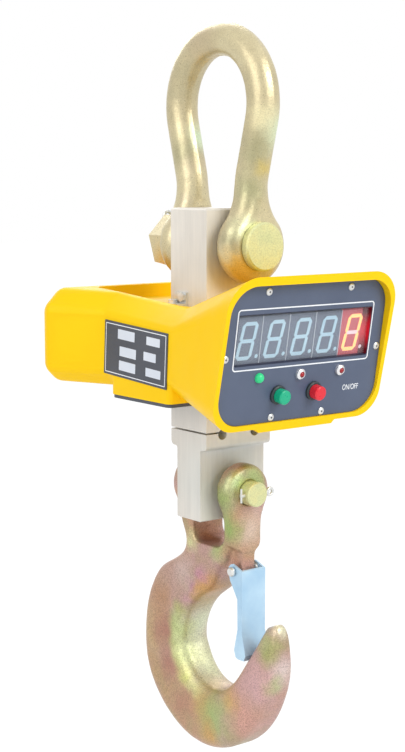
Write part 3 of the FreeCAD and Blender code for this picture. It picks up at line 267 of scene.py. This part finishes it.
# a soft patch of colour round a centre, whose place and reach are in millimetres
def patchOver(tree, place, under, centre, reach, colour, strength=patchEdge["strength"]):
    away = vectorMath(tree, "DISTANCE", place, [c * mm for c in centre])
    fade = tree.nodes.new("ShaderNodeMapRange")
    fade.interpolation_type = "SMOOTHSTEP"
    tree.links.new(away, fade.inputs["Value"])
    fade.inputs["From Min"].default_value = 0
    fade.inputs["From Max"].default_value = reach * patchEdge["fade"] * mm
    fade.inputs["To Min"].default_value = strength
    fade.inputs["To Max"].default_value = 0.0
    return mixColour(tree, fade.outputs["Result"], under, colour)


# yellow passivated zinc on rough metal: clouded tints, local patches and a fine speckle; the patches
# are partly the passivation's own tints and partly painted highlights and painted reflections
def zincPlate(name, spec):
    made = newMaterial(name, spec["tones"][0], spec["metallic"], spec["rough"])
    tree = made.node_tree
    tone = spread(tree, noiseAt(tree, spec["cloud"], 3.0, 0.6), spec["tones"])
    place = cloudedPlace(tree, 0.02)
    for centre, reach, colour in spec["tintsAndPaintedLight"]:
        tone = patchOver(tree, place, tone, centre, reach, colour)
    speck = greys(tree, noiseAt(tree, spec["speck"], 2.0, 0.75), spec["grain"], 1.0, 0.36, 0.58)
    tone = mixColour(tree, 1.0, tone, speck, "MULTIPLY")
    fine = noiseAt(tree, 320.0, 3.0)
    feed(made, Base_Color=tone, Roughness=greys(tree, fine, spec["rough"] - 0.05, spec["rough"] + 0.12),
         Normal=bumpFrom(tree, noiseAt(tree, 700.0, 3.0), spec["bump"], 0.0005))
    return made


def enamel(name, low, high, roughness=0.4):
    made = newMaterial(name, low, 0.0, roughness, Specular_IOR_Level=0.12)
    tree = made.node_tree
    feed(made, Base_Color=spread(tree, noiseAt(tree, 9.0, 2.0), [low, high]),
         Roughness=greys(tree, noiseAt(tree, 60.0), roughness - 0.05, roughness + 0.07),
         Normal=bumpFrom(tree, noiseAt(tree, 420.0, 2.0), 0.08, 0.0004))
    return made


def metal(name, low, high, metallic=0.8, roughness=0.32, grain=140.0):
    made = newMaterial(name, low, metallic, roughness)
    tree = made.node_tree
    feed(made, Base_Color=spread(tree, noiseAt(tree, grain), [low, high]),
         Roughness=greys(tree, noiseAt(tree, 480.0), roughness - 0.05, roughness + 0.1),
         Normal=bumpFrom(tree, noiseAt(tree, 900.0, 2.0), 0.06, 0.0002))
    return made


# ground bar: fine upright lines over a faint cloud and two local tints
def groundSteel():
    made = newMaterial("groundSteel", "#D9D4CB", 0.35, 0.5)
    tree = made.node_tree
    lines = noiseAt(tree, 220.0, 3.0, 0.6, (1.0, 1.0, 0.08))
    tone = spread(tree, noiseAt(tree, 14.0, 2.0), ["#DED8CF", "#ECE7DF"])
    place = cloudedPlace(tree, 0.01)
    for centre, reach, colour in barTints:
        tone = patchOver(tree, place, tone, centre, reach, colour, 0.7)
    feed(made, Base_Color=mixColour(tree, 0.3, tone, greys(tree, lines, 0.66, 1.0), "MULTIPLY"),
         Roughness=greys(tree, lines, 0.42, 0.58), Normal=bumpFrom(tree, lines, 0.14, 0.0003))
    return made


def moulded(name, low, high, roughness=0.42, **sockets):
    made = newMaterial(name, low, 0.0, roughness, **sockets)
    tree = made.node_tree
    feed(made, Base_Color=spread(tree, noiseAt(tree, 18.0, 3.0), [low, high]),
         Roughness=greys(tree, noiseAt(tree, 600.0), roughness - 0.05, roughness + 0.08),
         Normal=bumpFrom(tree, noiseAt(tree, 1500.0, 2.0), 0.06, 0.0002))
    return made


def glowing(name, low, high, strength, hot):
    made = moulded(name, low, high, 0.35)
    shader = made.node_tree.nodes["Principled BSDF"]
    shader.inputs["Emission Color"].default_value = (*tint(hot), 1)
    shader.inputs["Emission Strength"].default_value = strength
    return made


shackleZinc = {
    "tones": ["#BFB592", "#CDC09A", "#D9CDA6", "#CDBFA0"], "cloud": 16.0, "speck": 950.0,
    "grain": 0.80, "rough": 0.32, "metallic": 0.6, "bump": 0.3,
    # olive-grey and dark olive patches down the legs: painted reflections of a darker room; cream and
    # pale green ones: painted highlights
    # the two gold patches low on the ears: a painted reflection of the yellow housing; the tan and
    # yellow ones are tints of the passivation
    "tintsAndPaintedLight": [
        ((-13, 12, 15), 20, "#C9B896"), ((-9, -63, -52), 13, "#F0E6B8"),
        ((-10, -60, -80), 17, "#A9A680"), ((3, -60, -92), 9, "#DCC56C"),
        ((-10, -50, -110), 15, "#ACAB82"), ((10, -66, -62), 15, "#E2F2CE"),
        ((-8, 42, -78), 15, "#B0AB84"), ((7, 38, -68), 12, "#DDF3CF"),
        ((-14, -52, -140), 12, "#DDE2B4"), ((-20, -50, -176), 19, "#E3B85C"),
        ((-16, 52, -176), 18, "#E3B85C"), ((-24, -46, -150), 9, "#8F8C6C")]}
hookZinc = {
    "tones": ["#B7A57C", "#C79F80", "#C9A299", "#BCA086", "#B9B07E"], "cloud": 12.0, "speck": 900.0,
    "grain": 0.64, "rough": 0.36, "metallic": 0.55, "bump": 0.4,
    # pink, green, yellow and bronze tints of the passivation; the palest, near-white patches in the
    # bowl and on the tip are painted highlights
    "tintsAndPaintedLight": [
        ((-20, 48, -452), 34, "#C3A091"), ((-20, 26, -440), 15, "#D2B8AE"),
        ((-20, 2, -440), 9, "#CF93A8"), ((-20, 13, -453), 9, "#CF93A8"),
        ((-20, 23, -466), 9, "#CE9EA6"), ((-16, -8, -444), 10, "#DCA768"),
        ((-17, 3, -452), 9, "#D9A565"), ((-18, 13, -463), 9, "#D6AE6C"),
        ((4, 30, -494), 24, "#E6F1D0"), ((4, 16, -524), 24, "#EDF6C8"),
        ((-20, 34, -478), 9, "#B9B975"), ((-20, 42, -492), 10, "#9DB868"),
        ((-20, 41, -507), 10, "#A9C468"), ((-20, 36, -521), 10, "#CBD877"),
        ((-20, 26, -534), 10, "#E0E48C"), ((-20, 12, -542), 10, "#E4E6A4"),
        ((-20, 76, -505), 25, "#C9AE7C"), ((-20, 62, -545), 20, "#BFA274"),
        ((-20, 57, -500), 17, "#B57E6C"), ((-20, 50, -530), 15, "#B5806E"),
        ((-18, 60, -470), 16, "#BE9270"), ((-20, 30, -560), 14, "#BE8E76"),
        ((-14, 36, -494), 13, "#D2DC9C"), ((-14, 31, -514), 14, "#EAF0B6"),
        ((-8, -2, -457), 13, "#CFA066"), ((-2, 12, -470), 12, "#C8AC74"),
        ((-18, -52, -548), 24, "#DCA797"), ((-20, 0, -556), 16, "#D8A063"),
        ((-18, -34, -540), 13, "#D9AE70"), ((-20, -15, -560), 23, "#ABC27C"),
        ((-20, -10, -577), 12, "#D6A866"), ((-15, -68, -515), 22, "#DCB2B2"),
        ((-13, -78, -488), 13, "#A9B268"), ((-10, -70, -480), 10, "#BDBF86"),
        ((2, -86, -508), 15, "#EADAD4"), ((-6, -86, -520), 11, "#B7CC84"),
        ((0, -81, -468), 9, "#F0F0CC"), ((-24, -31, -366), 15, "#A4BC6E"),
        ((-14, -39, -350), 11, "#CDE9A6"), ((0, -36, -338), 8, "#8F8864"),
        ((5, -40, -350), 13, "#B6CE88"), ((8, -40, -362), 9, "#ABC67C"),
        ((2, -40, -394), 15, "#E6CCBA"), ((-22, -30, -390), 13, "#98BC66"),
        ((-20, -16, -414), 10, "#B4C684"), ((-20, 20, -410), 10, "#E9F0AC"),
        ((-2, 10, -408), 13, "#A8642F"), ((-6, -30, -424), 9, "#C98F7A")]}
pinZinc = {
    "tones": ["#D3D8A4", "#DEDFA8", "#E4DFA0"], "cloud": 60.0, "speck": 800.0, "grain": 0.82,
    "rough": 0.36, "metallic": 0.5, "bump": 0.3, "tintsAndPaintedLight": []}
barTints = [((0, -26, -185), 24, "#DCC3A0"), ((0, -18, -350), 40, "#CFDBDA")]


# the right reveal of the window, lit by the last digit and dark towards its ends
def litReveal():
    made = glowing("litReveal", "#8E0014", "#A80018", 0.1, "#C8001C")
    tree = made.node_tree
    low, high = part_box("digit_5")
    away = vectorMath(tree, "DISTANCE", cloudedPlace(tree, 0.004),
                      (high[0], low[1], (low[2] + high[2]) / 2))
    feed(made, Base_Color=ramp(tree, away, [(0.005, "#D00C2A"), (0.016, "#2C0212")]))
    return made


finish = {
    "yellow": enamel("yellowEnamel", "#FECB0C", "#FFD214"),
    "shackleZinc": zincPlate("shackleZinc", shackleZinc),
    "hookZinc": zincPlate("hookZinc", hookZinc),
    "pinZinc": zincPlate("pinZinc", pinZinc),
    "bright": metal("brightZinc", "#D0D2D2", "#EAEAE6"),
    "cell": groundSteel(),
    "latch": metal("blueZinc", "#A9CDE8", "#C2E0F4", 0.35, 0.34, 40.0),
    "slate": moulded("slateFilm", "#4B566D", "#566178", 0.4),
    "dark": moulded("darkPlate", "#3E424C", "#4A4E58"),
    "rubber": moulded("blackRubber", "#1C1C1E", "#2E2E31", 0.65),
    "white": moulded("whiteInk", "#EDF1F6", "#F6F8FA"),
    "paleLine": moulded("paleLine", "#B9C4D2", "#D2DAE4"),
    "liner": moulded("darkLiner", "#151A33", "#1F2542"),
    "digitGrey": moulded("digitGrey", "#5C687C", "#687588"),
    "unlit": moulded("unlitSegment", "#A9CBDD", "#BAD8E6", 0.35),
    "pinkSegment": moulded("pinkSegment", "#F0D2DC", "#F6E0E6", 0.35),
    "digitRed": glowing("digitRed", "#A6424E", "#B44E5C", 0.2, "#D04A50"),
    "lit": glowing("litSegment", "#FFB070", "#FFC890", 0.55, "#FFC060"),
    "litWall": litReveal(),
    "board": moulded("boardGreen", "#14592F", "#1B6B3B"),
    "battery": moulded("batteryCase", "#33373E", "#3E424B"),
    "darkPlastic": moulded("darkRing", "#222C30", "#303B40"),
    "chrome": metal("chromedRing", "#E6E6E8", "#F6F6F8", 0.7, 0.2, 300.0),
    "green": moulded("greenCap", "#00A87C", "#08B488", 0.3),
    "red": moulded("redCap", "#DE1E2E", "#E82A3A", 0.3),
    "greenLamp": glowing("greenLamp", "#14A562", "#2CC784", 0.22, "#2EE58A"),
    "redLamp": moulded("redLamp", "#8A1018", "#B81C26", 0.2),
    "field": moulded("fieldFilm", "#D3DAE6", "#E2E7F0"),
    "slot": moulded("slotShade", "#46464C", "#5A5A60"),
    "pane": moulded("clearPane", "#F2F6FF", "#FFFFFF", 0.06, Alpha=0.06),
}
nodeFinish = {
    "shackleZinc": ["shackle_nut"], "pinZinc": ["hook_pin"],
    "bright": ["shackle_split_pin", "hook_split_pin", "bracket_bolts", "bar_brackets",
               "rear_cover_screws", "panel_screws", "bottom_plate_screws", "latch_pin",
               "latch_spring", "board_posts", "board_spacers", "gauge_covers"],
    "cell": ["load_cell"], "yellow": ["rear_cover"],
    "dark": ["bottom_plate", "data_plate"], "rubber": ["cable_boot", "cover_gasket"],
    "slate": ["display_panel"], "pane": ["display_window"],
    "digitGrey": ["digit_1", "digit_2", "digit_3", "digit_4"], "digitRed": ["digit_5"],
    "board": ["display_board", "main_board"], "battery": ["battery"],
    "darkPlastic": ["green_button_barrel", "red_button_barrel", "charge_socket"],
    "chrome": ["green_button_nut", "red_button_nut", "lamp_bezels"],
    "green": ["green_button_cap"], "red": ["red_button_cap"],
    "greenLamp": ["steady_lamp"], "redLamp": ["low_lamp", "charge_lamp"],
}
for key, names in nodeFinish.items():
    for name in names:
        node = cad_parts[name]
        node.data.materials.clear()
        node.data.materials.append(finish[key])
print("finishes ready:", len(finish))


# shared modelling steps
def deselectAll():
    if bpy.context.object and bpy.context.object.mode != "OBJECT":
        bpy.ops.object.mode_set(mode="OBJECT")
    bpy.ops.object.select_all(action="DESELECT")


def makeActive(*objects):
    deselectAll()
    for each in objects:
        each.select_set(True)
    bpy.context.view_layer.objects.active = objects[0]


def joined(name, objects):
    makeActive(*objects)
    if len(objects) > 1:
        bpy.ops.object.join()
    piece = bpy.context.object
    piece.name = name
    return piece


def settle(piece):
    makeActive(piece)
    bpy.ops.object.transform_apply(location=True, rotation=True, scale=True)
    return piece


def applyAll(piece):
    makeActive(piece)
    for modifier in list(piece.modifiers):
        bpy.ops.object.modifier_apply(modifier=modifier.name)


# edit mode on the piece, with only the faces or edges that pass the test selected
def selectIn(piece, kind, test):
    makeActive(piece)
    bpy.ops.object.mode_set(mode="EDIT")
    bpy.ops.mesh.select_mode(type=kind)
    bpy.ops.mesh.select_all(action="DESELECT")
    mesh = bmesh.from_edit_mesh(piece.data)
    for each in mesh.faces if kind == "FACE" else mesh.edges:
        if test(each):
            each.select_set(True)
    bmesh.update_edit_mesh(piece.data)


def mergedCopy(node, name, key, body):
    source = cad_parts[node]
    piece = bpy.data.objects.new(name, source.data.copy())
    bpy.context.collection.objects.link(piece)
    makeActive(piece)
    bpy.ops.object.mode_set(mode="EDIT")
    bpy.ops.mesh.select_all(action="SELECT")
    bpy.ops.mesh.remove_doubles(threshold=0.02 * mm)
    bpy.ops.object.mode_set(mode="OBJECT")
    if piece.data.has_custom_normals:
        bpy.ops.mesh.customdata_custom_splitnormals_clear()
    piece.data.materials.clear()
    piece.data.materials.append(finish[key])
    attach(piece, body)
    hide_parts(node)
    return piece


# castings, pressings and turned parts keep their edges and get smooth faces
smoothPieces = {
    "housing": ("housingCasting", "yellow", "scale_body"),
    "latch": ("latchPressing", "latch", "latch"),
    "shackle_pin": ("shacklePinTurned", "pinZinc", "shackle"),
}
for node, (name, key, body) in smoothPieces.items():
    makeActive(mergedCopy(node, name, key, body))
    bpy.ops.object.shade_smooth_by_angle(angle=math.radians(35))

# forgings: soft edges, an uneven skin and, on the bow, the trimmed parting line
forging = {
    "hook": {"name": "hookForging", "key": "hookZinc", "body": "hook", "voxel": 1.5, "soften": 8,
             "lump": 0.35, "lumpSize": 7.0, "seam": 0.0},
    "shackle_bow": {"name": "shackleBowForging", "key": "shackleZinc", "body": "shackle",
                    "voxel": 1.4, "soften": 5, "lump": 0.25, "lumpSize": 9.0, "seam": 1.6},
}
seamRise = 0.3


def forge(node, spec):
    piece = mergedCopy(node, spec["name"], spec["key"], spec["body"])
    remesh = piece.modifiers.new("evenSkin", "REMESH")
    remesh.mode = "VOXEL"
    remesh.voxel_size = spec["voxel"] * mm
    soften = piece.modifiers.new("softEdges", "SMOOTH")
    soften.factor = 0.5
    soften.iterations = spec["soften"]
    clouds = bpy.data.textures.new(node + "Lumps", "CLOUDS")
    clouds.noise_scale = spec["lumpSize"] * mm
    lumps = piece.modifiers.new("forgedSkin", "DISPLACE")
    lumps.texture = clouds
    lumps.texture_coords = "LOCAL"
    lumps.mid_level = 1.0  # only inwards
    lumps.strength = spec["lump"] * mm
    applyAll(piece)
    if spec["seam"]:
        away = piece.vertex_groups.new(name="besideSeam")
        for vert in piece.data.vertices:
            if abs(vert.co.x) > spec["seam"] * mm:
                away.add([vert.index], 1.0, "REPLACE")
        trim = piece.modifiers.new("partingLine", "DISPLACE")
        trim.vertex_group = "besideSeam"
        trim.mid_level = 0.0
        trim.strength = -seamRise * mm
        applyAll(piece)
    makeActive(piece)
    bpy.ops.object.shade_smooth()


for node, spec in forging.items():
    forge(node, spec)
print("forgings and castings shaped")


# flat pieces are modelled lying at the origin and then seated on a face of the scale
def flatPlate(x, y, long, high, thick, bottom=0.0):
    bpy.ops.mesh.primitive_cube_add(size=1, location=(x * mm, y * mm, (bottom + thick / 2) * mm))
    plate = bpy.context.object
    plate.scale = (long * mm, high * mm, thick * mm)
    return settle(plate)


def isUpright(edge):
    first, second = (vert.co for vert in edge.verts)
    return abs(first.z - second.z) > max(abs(first.x - second.x), abs(first.y - second.y))


def roundCorners(plate, radius, steps=1):
    selectIn(plate, "EDGE", isUpright)
    bpy.ops.mesh.bevel(offset=radius * mm, offset_type="OFFSET", segments=steps)
    bpy.ops.object.mode_set(mode="OBJECT")


# a closed band round a rectangle, with rounded corners: its top face is at top
def flatFrame(long, high, y, line, corner, thick, top):
    bpy.ops.mesh.primitive_plane_add(size=1, location=(0, y * mm, top * mm))
    band = bpy.context.object
    band.scale = (long * mm, high * mm, 1)
    settle(band)
    bpy.ops.object.mode_set(mode="EDIT")
    bpy.ops.mesh.select_all(action="SELECT")
    bpy.ops.mesh.bevel(offset=corner * mm, segments=5, affect="VERTICES")
    bpy.ops.mesh.select_mode(type="FACE")
    bpy.ops.mesh.select_all(action="SELECT")
    bpy.ops.mesh.inset(thickness=line * mm)
    bpy.ops.mesh.delete(type="FACE")
    bpy.ops.object.mode_set(mode="OBJECT")
    depth = band.modifiers.new("depth", "SOLIDIFY")
    depth.thickness = thick * mm
    depth.offset = -1
    applyAll(band)
    return band


def seat(piece, name, key, matrix, body="scale_body"):
    piece.matrix_world = matrix @ piece.matrix_world
    settle(piece)
    piece.name = name
    if key:
        piece.data.materials.clear()
        piece.data.materials.append(finish[key])
    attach(piece, body)
    return piece


# the display face: x across, y up and z out of it
face = {"lean": 9.52, "panelTop": 44.0, "panelThick": 3.0, "windowHalf": 70.6,
        "windowLow": -21.0, "windowHigh": 20.2, "linerWall": 0.5, "linerDeep": 4.7,
        "linerCorner": 1.9, "linerTop": -0.15, "linerPlay": 0.02, "shadeFrom": 64.6,
        "shadeThick": 0.2, "shadeBottom": -5.1, "shadeCorner": 0.3, "borderLong": 143.7,
        "borderHigh": 49.3, "borderLine": 1.0, "borderCorner": 3.0, "borderThick": 0.12,
        "borderTop": 0.1}
lean = math.radians(face["lean"])
panelLow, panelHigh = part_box("display_panel")
faceMatrix = Matrix.Translation((
    0, panelLow[1] + face["panelTop"] * mm * math.sin(lean),
    panelHigh[2] - (face["panelTop"] * math.cos(lean) + face["panelThick"] * math.sin(lean)) * mm))
faceMatrix = faceMatrix @ Matrix.Rotation(math.radians(90) + lean, 4, "X")

seat(flatFrame(face["borderLong"], face["borderHigh"], 0.0, face["borderLine"],
               face["borderCorner"], face["borderThick"], face["borderTop"]),
     "windowBorder", "white", faceMatrix)


# a thin reveal round the window, whose right wall is lit by the last digit
def makeLiner():
    wide = 2 * (face["windowHalf"] - face["linerPlay"])
    high = face["windowHigh"] - face["windowLow"] - 2 * face["linerPlay"]
    middleY = (face["windowHigh"] + face["windowLow"]) / 2
    liner = flatFrame(wide, high, middleY, face["linerWall"], face["linerCorner"],
                      face["linerDeep"], face["linerTop"])
    liner.data.materials.append(finish["liner"])
    liner.data.materials.append(finish["litWall"])
    inner = (face["windowHalf"] - face["linerWall"] - 0.5) * mm
    selectIn(liner, "FACE", lambda f: f.calc_center_median().x > inner and f.normal.x < -0.4)
    liner.active_material_index = 1
    bpy.ops.object.material_slot_assign()
    bpy.ops.object.mode_set(mode="OBJECT")
    seat(liner, "windowLiner", None, faceMatrix)
    # the module's last stretch, in the deep red shade of that wall
    end = face["windowHalf"] - face["linerWall"]
    shade = flatPlate((face["shadeFrom"] + end) / 2, middleY, end - face["shadeFrom"], high - 1,
                      face["shadeThick"], face["shadeBottom"])
    roundCorners(shade, face["shadeCorner"])
    seat(shade, "litShade", "litWall", faceMatrix)


makeLiner()

digit = {"pitch": 27.8, "recess": 5.0, "tall": 30.5, "wide": 15.8, "bar": 3.0, "gap": 0.72,
         "proud": 0.25, "slant": 10.0, "middle": -2.1, "shift": -0.3, "dotSize": 3.2,
         "dotOut": 5.3, "dotRise": 1.0, "dotEdge": 0.08, "cut": 0.46, "reachIn": 0.4, "cage": 40,
         "cageThick": 4, "moduleHigh": 39.5, "seam": 0.6, "seamThick": 0.3, "seamBottom": -5.05,
         "seamCorner": 0.15}


def segment(x, y, long, high):
    bar = flatPlate(x, y, long, high, digit["proud"])
    roundCorners(bar, digit["bar"] * digit["cut"])
    return bar


# leans a digit by a lattice whose upper row is pushed sideways
def slantTop(piece):
    bpy.ops.object.add(type="LATTICE")
    cage = bpy.context.object
    cage.scale = (digit["cage"] * mm, digit["cage"] * mm, digit["cageThick"] * mm)
    cage.data.points_u = 2
    cage.data.points_v = 2
    cage.data.points_w = 2
    for axis in "uvw":
        setattr(cage.data, "interpolation_type_" + axis, "KEY_LINEAR")
    push = math.tan(math.radians(digit["slant"])) / 2
    for point in cage.data.points:
        point.co_deform.x += push if point.co.y > 0 else -push
    bend = piece.modifiers.new("slant", "LATTICE")
    bend.object = cage
    bpy.context.view_layer.update()
    applyAll(piece)
    bpy.data.objects.remove(cage)


def makeDigit(number, outerKey, middleKey):
    half = (digit["tall"] - digit["bar"]) / 2
    reach = (digit["wide"] - digit["bar"]) / 2
    level = reach * 2 - 2 * digit["gap"] + digit["bar"] * digit["reachIn"]
    rise = half - 2 * digit["gap"] + digit["bar"] * digit["reachIn"]
    bars = [segment(0, way * half, level, digit["bar"]) for way in (1, -1)]
    bars += [segment(side * reach, way * half / 2, digit["bar"], rise)
             for side in (1, -1) for way in (1, -1)]
    for bar in bars:
        bar.data.materials.append(finish[outerKey])
    centre = segment(0, 0, level, digit["bar"])
    bpy.ops.mesh.primitive_cylinder_add(
        vertices=24, radius=digit["dotSize"] / 2 * mm, depth=digit["proud"] * mm,
        location=((digit["wide"] / 2 + digit["dotOut"]) * mm, (digit["dotRise"] - half) * mm,
                  digit["proud"] / 2 * mm))
    dot = bpy.context.object
    selectIn(dot, "FACE", lambda f: f.normal.z > 0.9)
    bpy.ops.mesh.bevel(offset=digit["dotEdge"] * mm, segments=2)
    bpy.ops.object.mode_set(mode="OBJECT")
    for bar in (centre, dot):
        bar.data.materials.append(finish[middleKey])
    piece = joined("digit", bars + [centre, dot])
    settle(piece)
    slantTop(piece)
    across = (number - 3) * digit["pitch"] + digit["shift"]
    place = Matrix.Translation((across * mm, digit["middle"] * mm, -digit["recess"] * mm))
    return seat(piece, f"digitSegments{number}", None, faceMatrix @ place)


for number in range(1, 6):
    makeDigit(number, "lit" if number == 5 else "unlit", "pinkSegment" if number == 5 else "unlit")
for gap in range(4):
    across = (gap - 1.5) * digit["pitch"]
    line = flatPlate(across, digit["middle"], digit["seam"], digit["moduleHigh"] - 1,
                     digit["seamThick"], digit["seamBottom"])
    roundCorners(line, digit["seamCorner"])
    seat(line, f"moduleSeam{gap + 1}", "paleLine", faceMatrix)
print("display face made")

# cross recesses in the pan heads, drawn as thin dark marks whose darkness is painted shade
cross = {"arm": 1.2, "wide": 0.75, "thick": 0.08, "headHigh": 1.3, "sink": 0.02, "firstTurn": 25,
         "turnStep": 37,
         "panel": [(-43.3, 37.6), (43.3, 37.6), (-79.8, -14.0), (79.8, -14.0), (-26.8, -65.2),
                   (26.8, -65.2)]}


def makeCross(x, y, turn):
    mark = flatPlate(0, 0, cross["wide"], cross["wide"], cross["thick"])
    selectIn(mark, "FACE", lambda f: abs(f.normal.z) < 0.5)
    bpy.ops.mesh.extrude_faces_move(TRANSFORM_OT_shrink_fatten={"value": -cross["arm"] * mm})
    bpy.ops.object.mode_set(mode="OBJECT")
    rise = (cross["headHigh"] - cross["sink"]) * mm
    mark.matrix_world = (Matrix.Translation((x * mm, y * mm, rise))
                         @ Matrix.Rotation(math.radians(turn), 4, "Z"))
    return settle(mark)


marks = [makeCross(x, y, cross["firstTurn"] + cross["turnStep"] * i)
         for i, (x, y) in enumerate(cross["panel"])]
seat(joined("crosses", marks), "panelScrewCrosses", "slot", faceMatrix)

# ON/OFF beside the red button
label = {"words": "ON/OFF", "size": 6.6, "narrow": 0.74, "x": 56.5, "y": -49.4, "thick": 0.1}


def makeLabel():
    bpy.ops.object.text_add(location=(0, 0, 0))
    words = bpy.context.object
    words.data.body = label["words"]
    words.data.size = label["size"] * mm
    words.data.align_x = "CENTER"
    words.data.extrude = label["thick"] / 2 * mm
    words.scale = (label["narrow"], 1, 1)
    makeActive(words)
    bpy.ops.object.convert(target="MESH")
    words = settle(bpy.context.object)
    place = Matrix.Translation((label["x"] * mm, label["y"] * mm, label["thick"] / 2 * mm))
    seat(words, "switchLabel", "white", faceMatrix @ place)


makeLabel()
print("screw crosses and switch label made")

# the data plate's printed border and its blank fields
plate = {"turn": 3.3, "long": 89.0, "high": 46.0, "inset": 1.9, "line": 0.7, "thick": 0.1,
         "corner": 0.6, "fieldCorner": 0.3,
         "fields": [(-13.0, 13.4, 24.0, 8.2), (25.0, 13.4, 18.5, 7.0), (-10.2, -0.8, 23.5, 8.2),
                    (20.8, 0.2, 17.0, 7.2), (-10.6, -12.9, 23.5, 8.2), (26.0, -12.6, 20.5, 7.0)]}
plateLow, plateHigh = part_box("data_plate")
sideways = Matrix(((0, 0, -1, 0), (-1, 0, 0, 0), (0, 1, 0, 0), (0, 0, 0, 1)))
plateMatrix = (Matrix.Translation((plateLow[0], (plateLow[1] + plateHigh[1]) / 2,
                                   (plateLow[2] + plateHigh[2]) / 2))
               @ Matrix.Rotation(math.radians(plate["turn"]), 4, "X") @ sideways)
seat(flatFrame(plate["long"] - 2 * plate["inset"], plate["high"] - 2 * plate["inset"], 0,
               plate["line"], plate["corner"], plate["thick"], plate["thick"]),
     "plateBorder", "white", plateMatrix)
fields = []
for x, y, long, high in plate["fields"]:
    fields.append(flatPlate(x, y, long, high, plate["thick"]))
    roundCorners(fields[-1], plate["fieldCorner"])
seat(joined("fields", fields), "plateFields", "field", plateMatrix)
print("data plate marked")
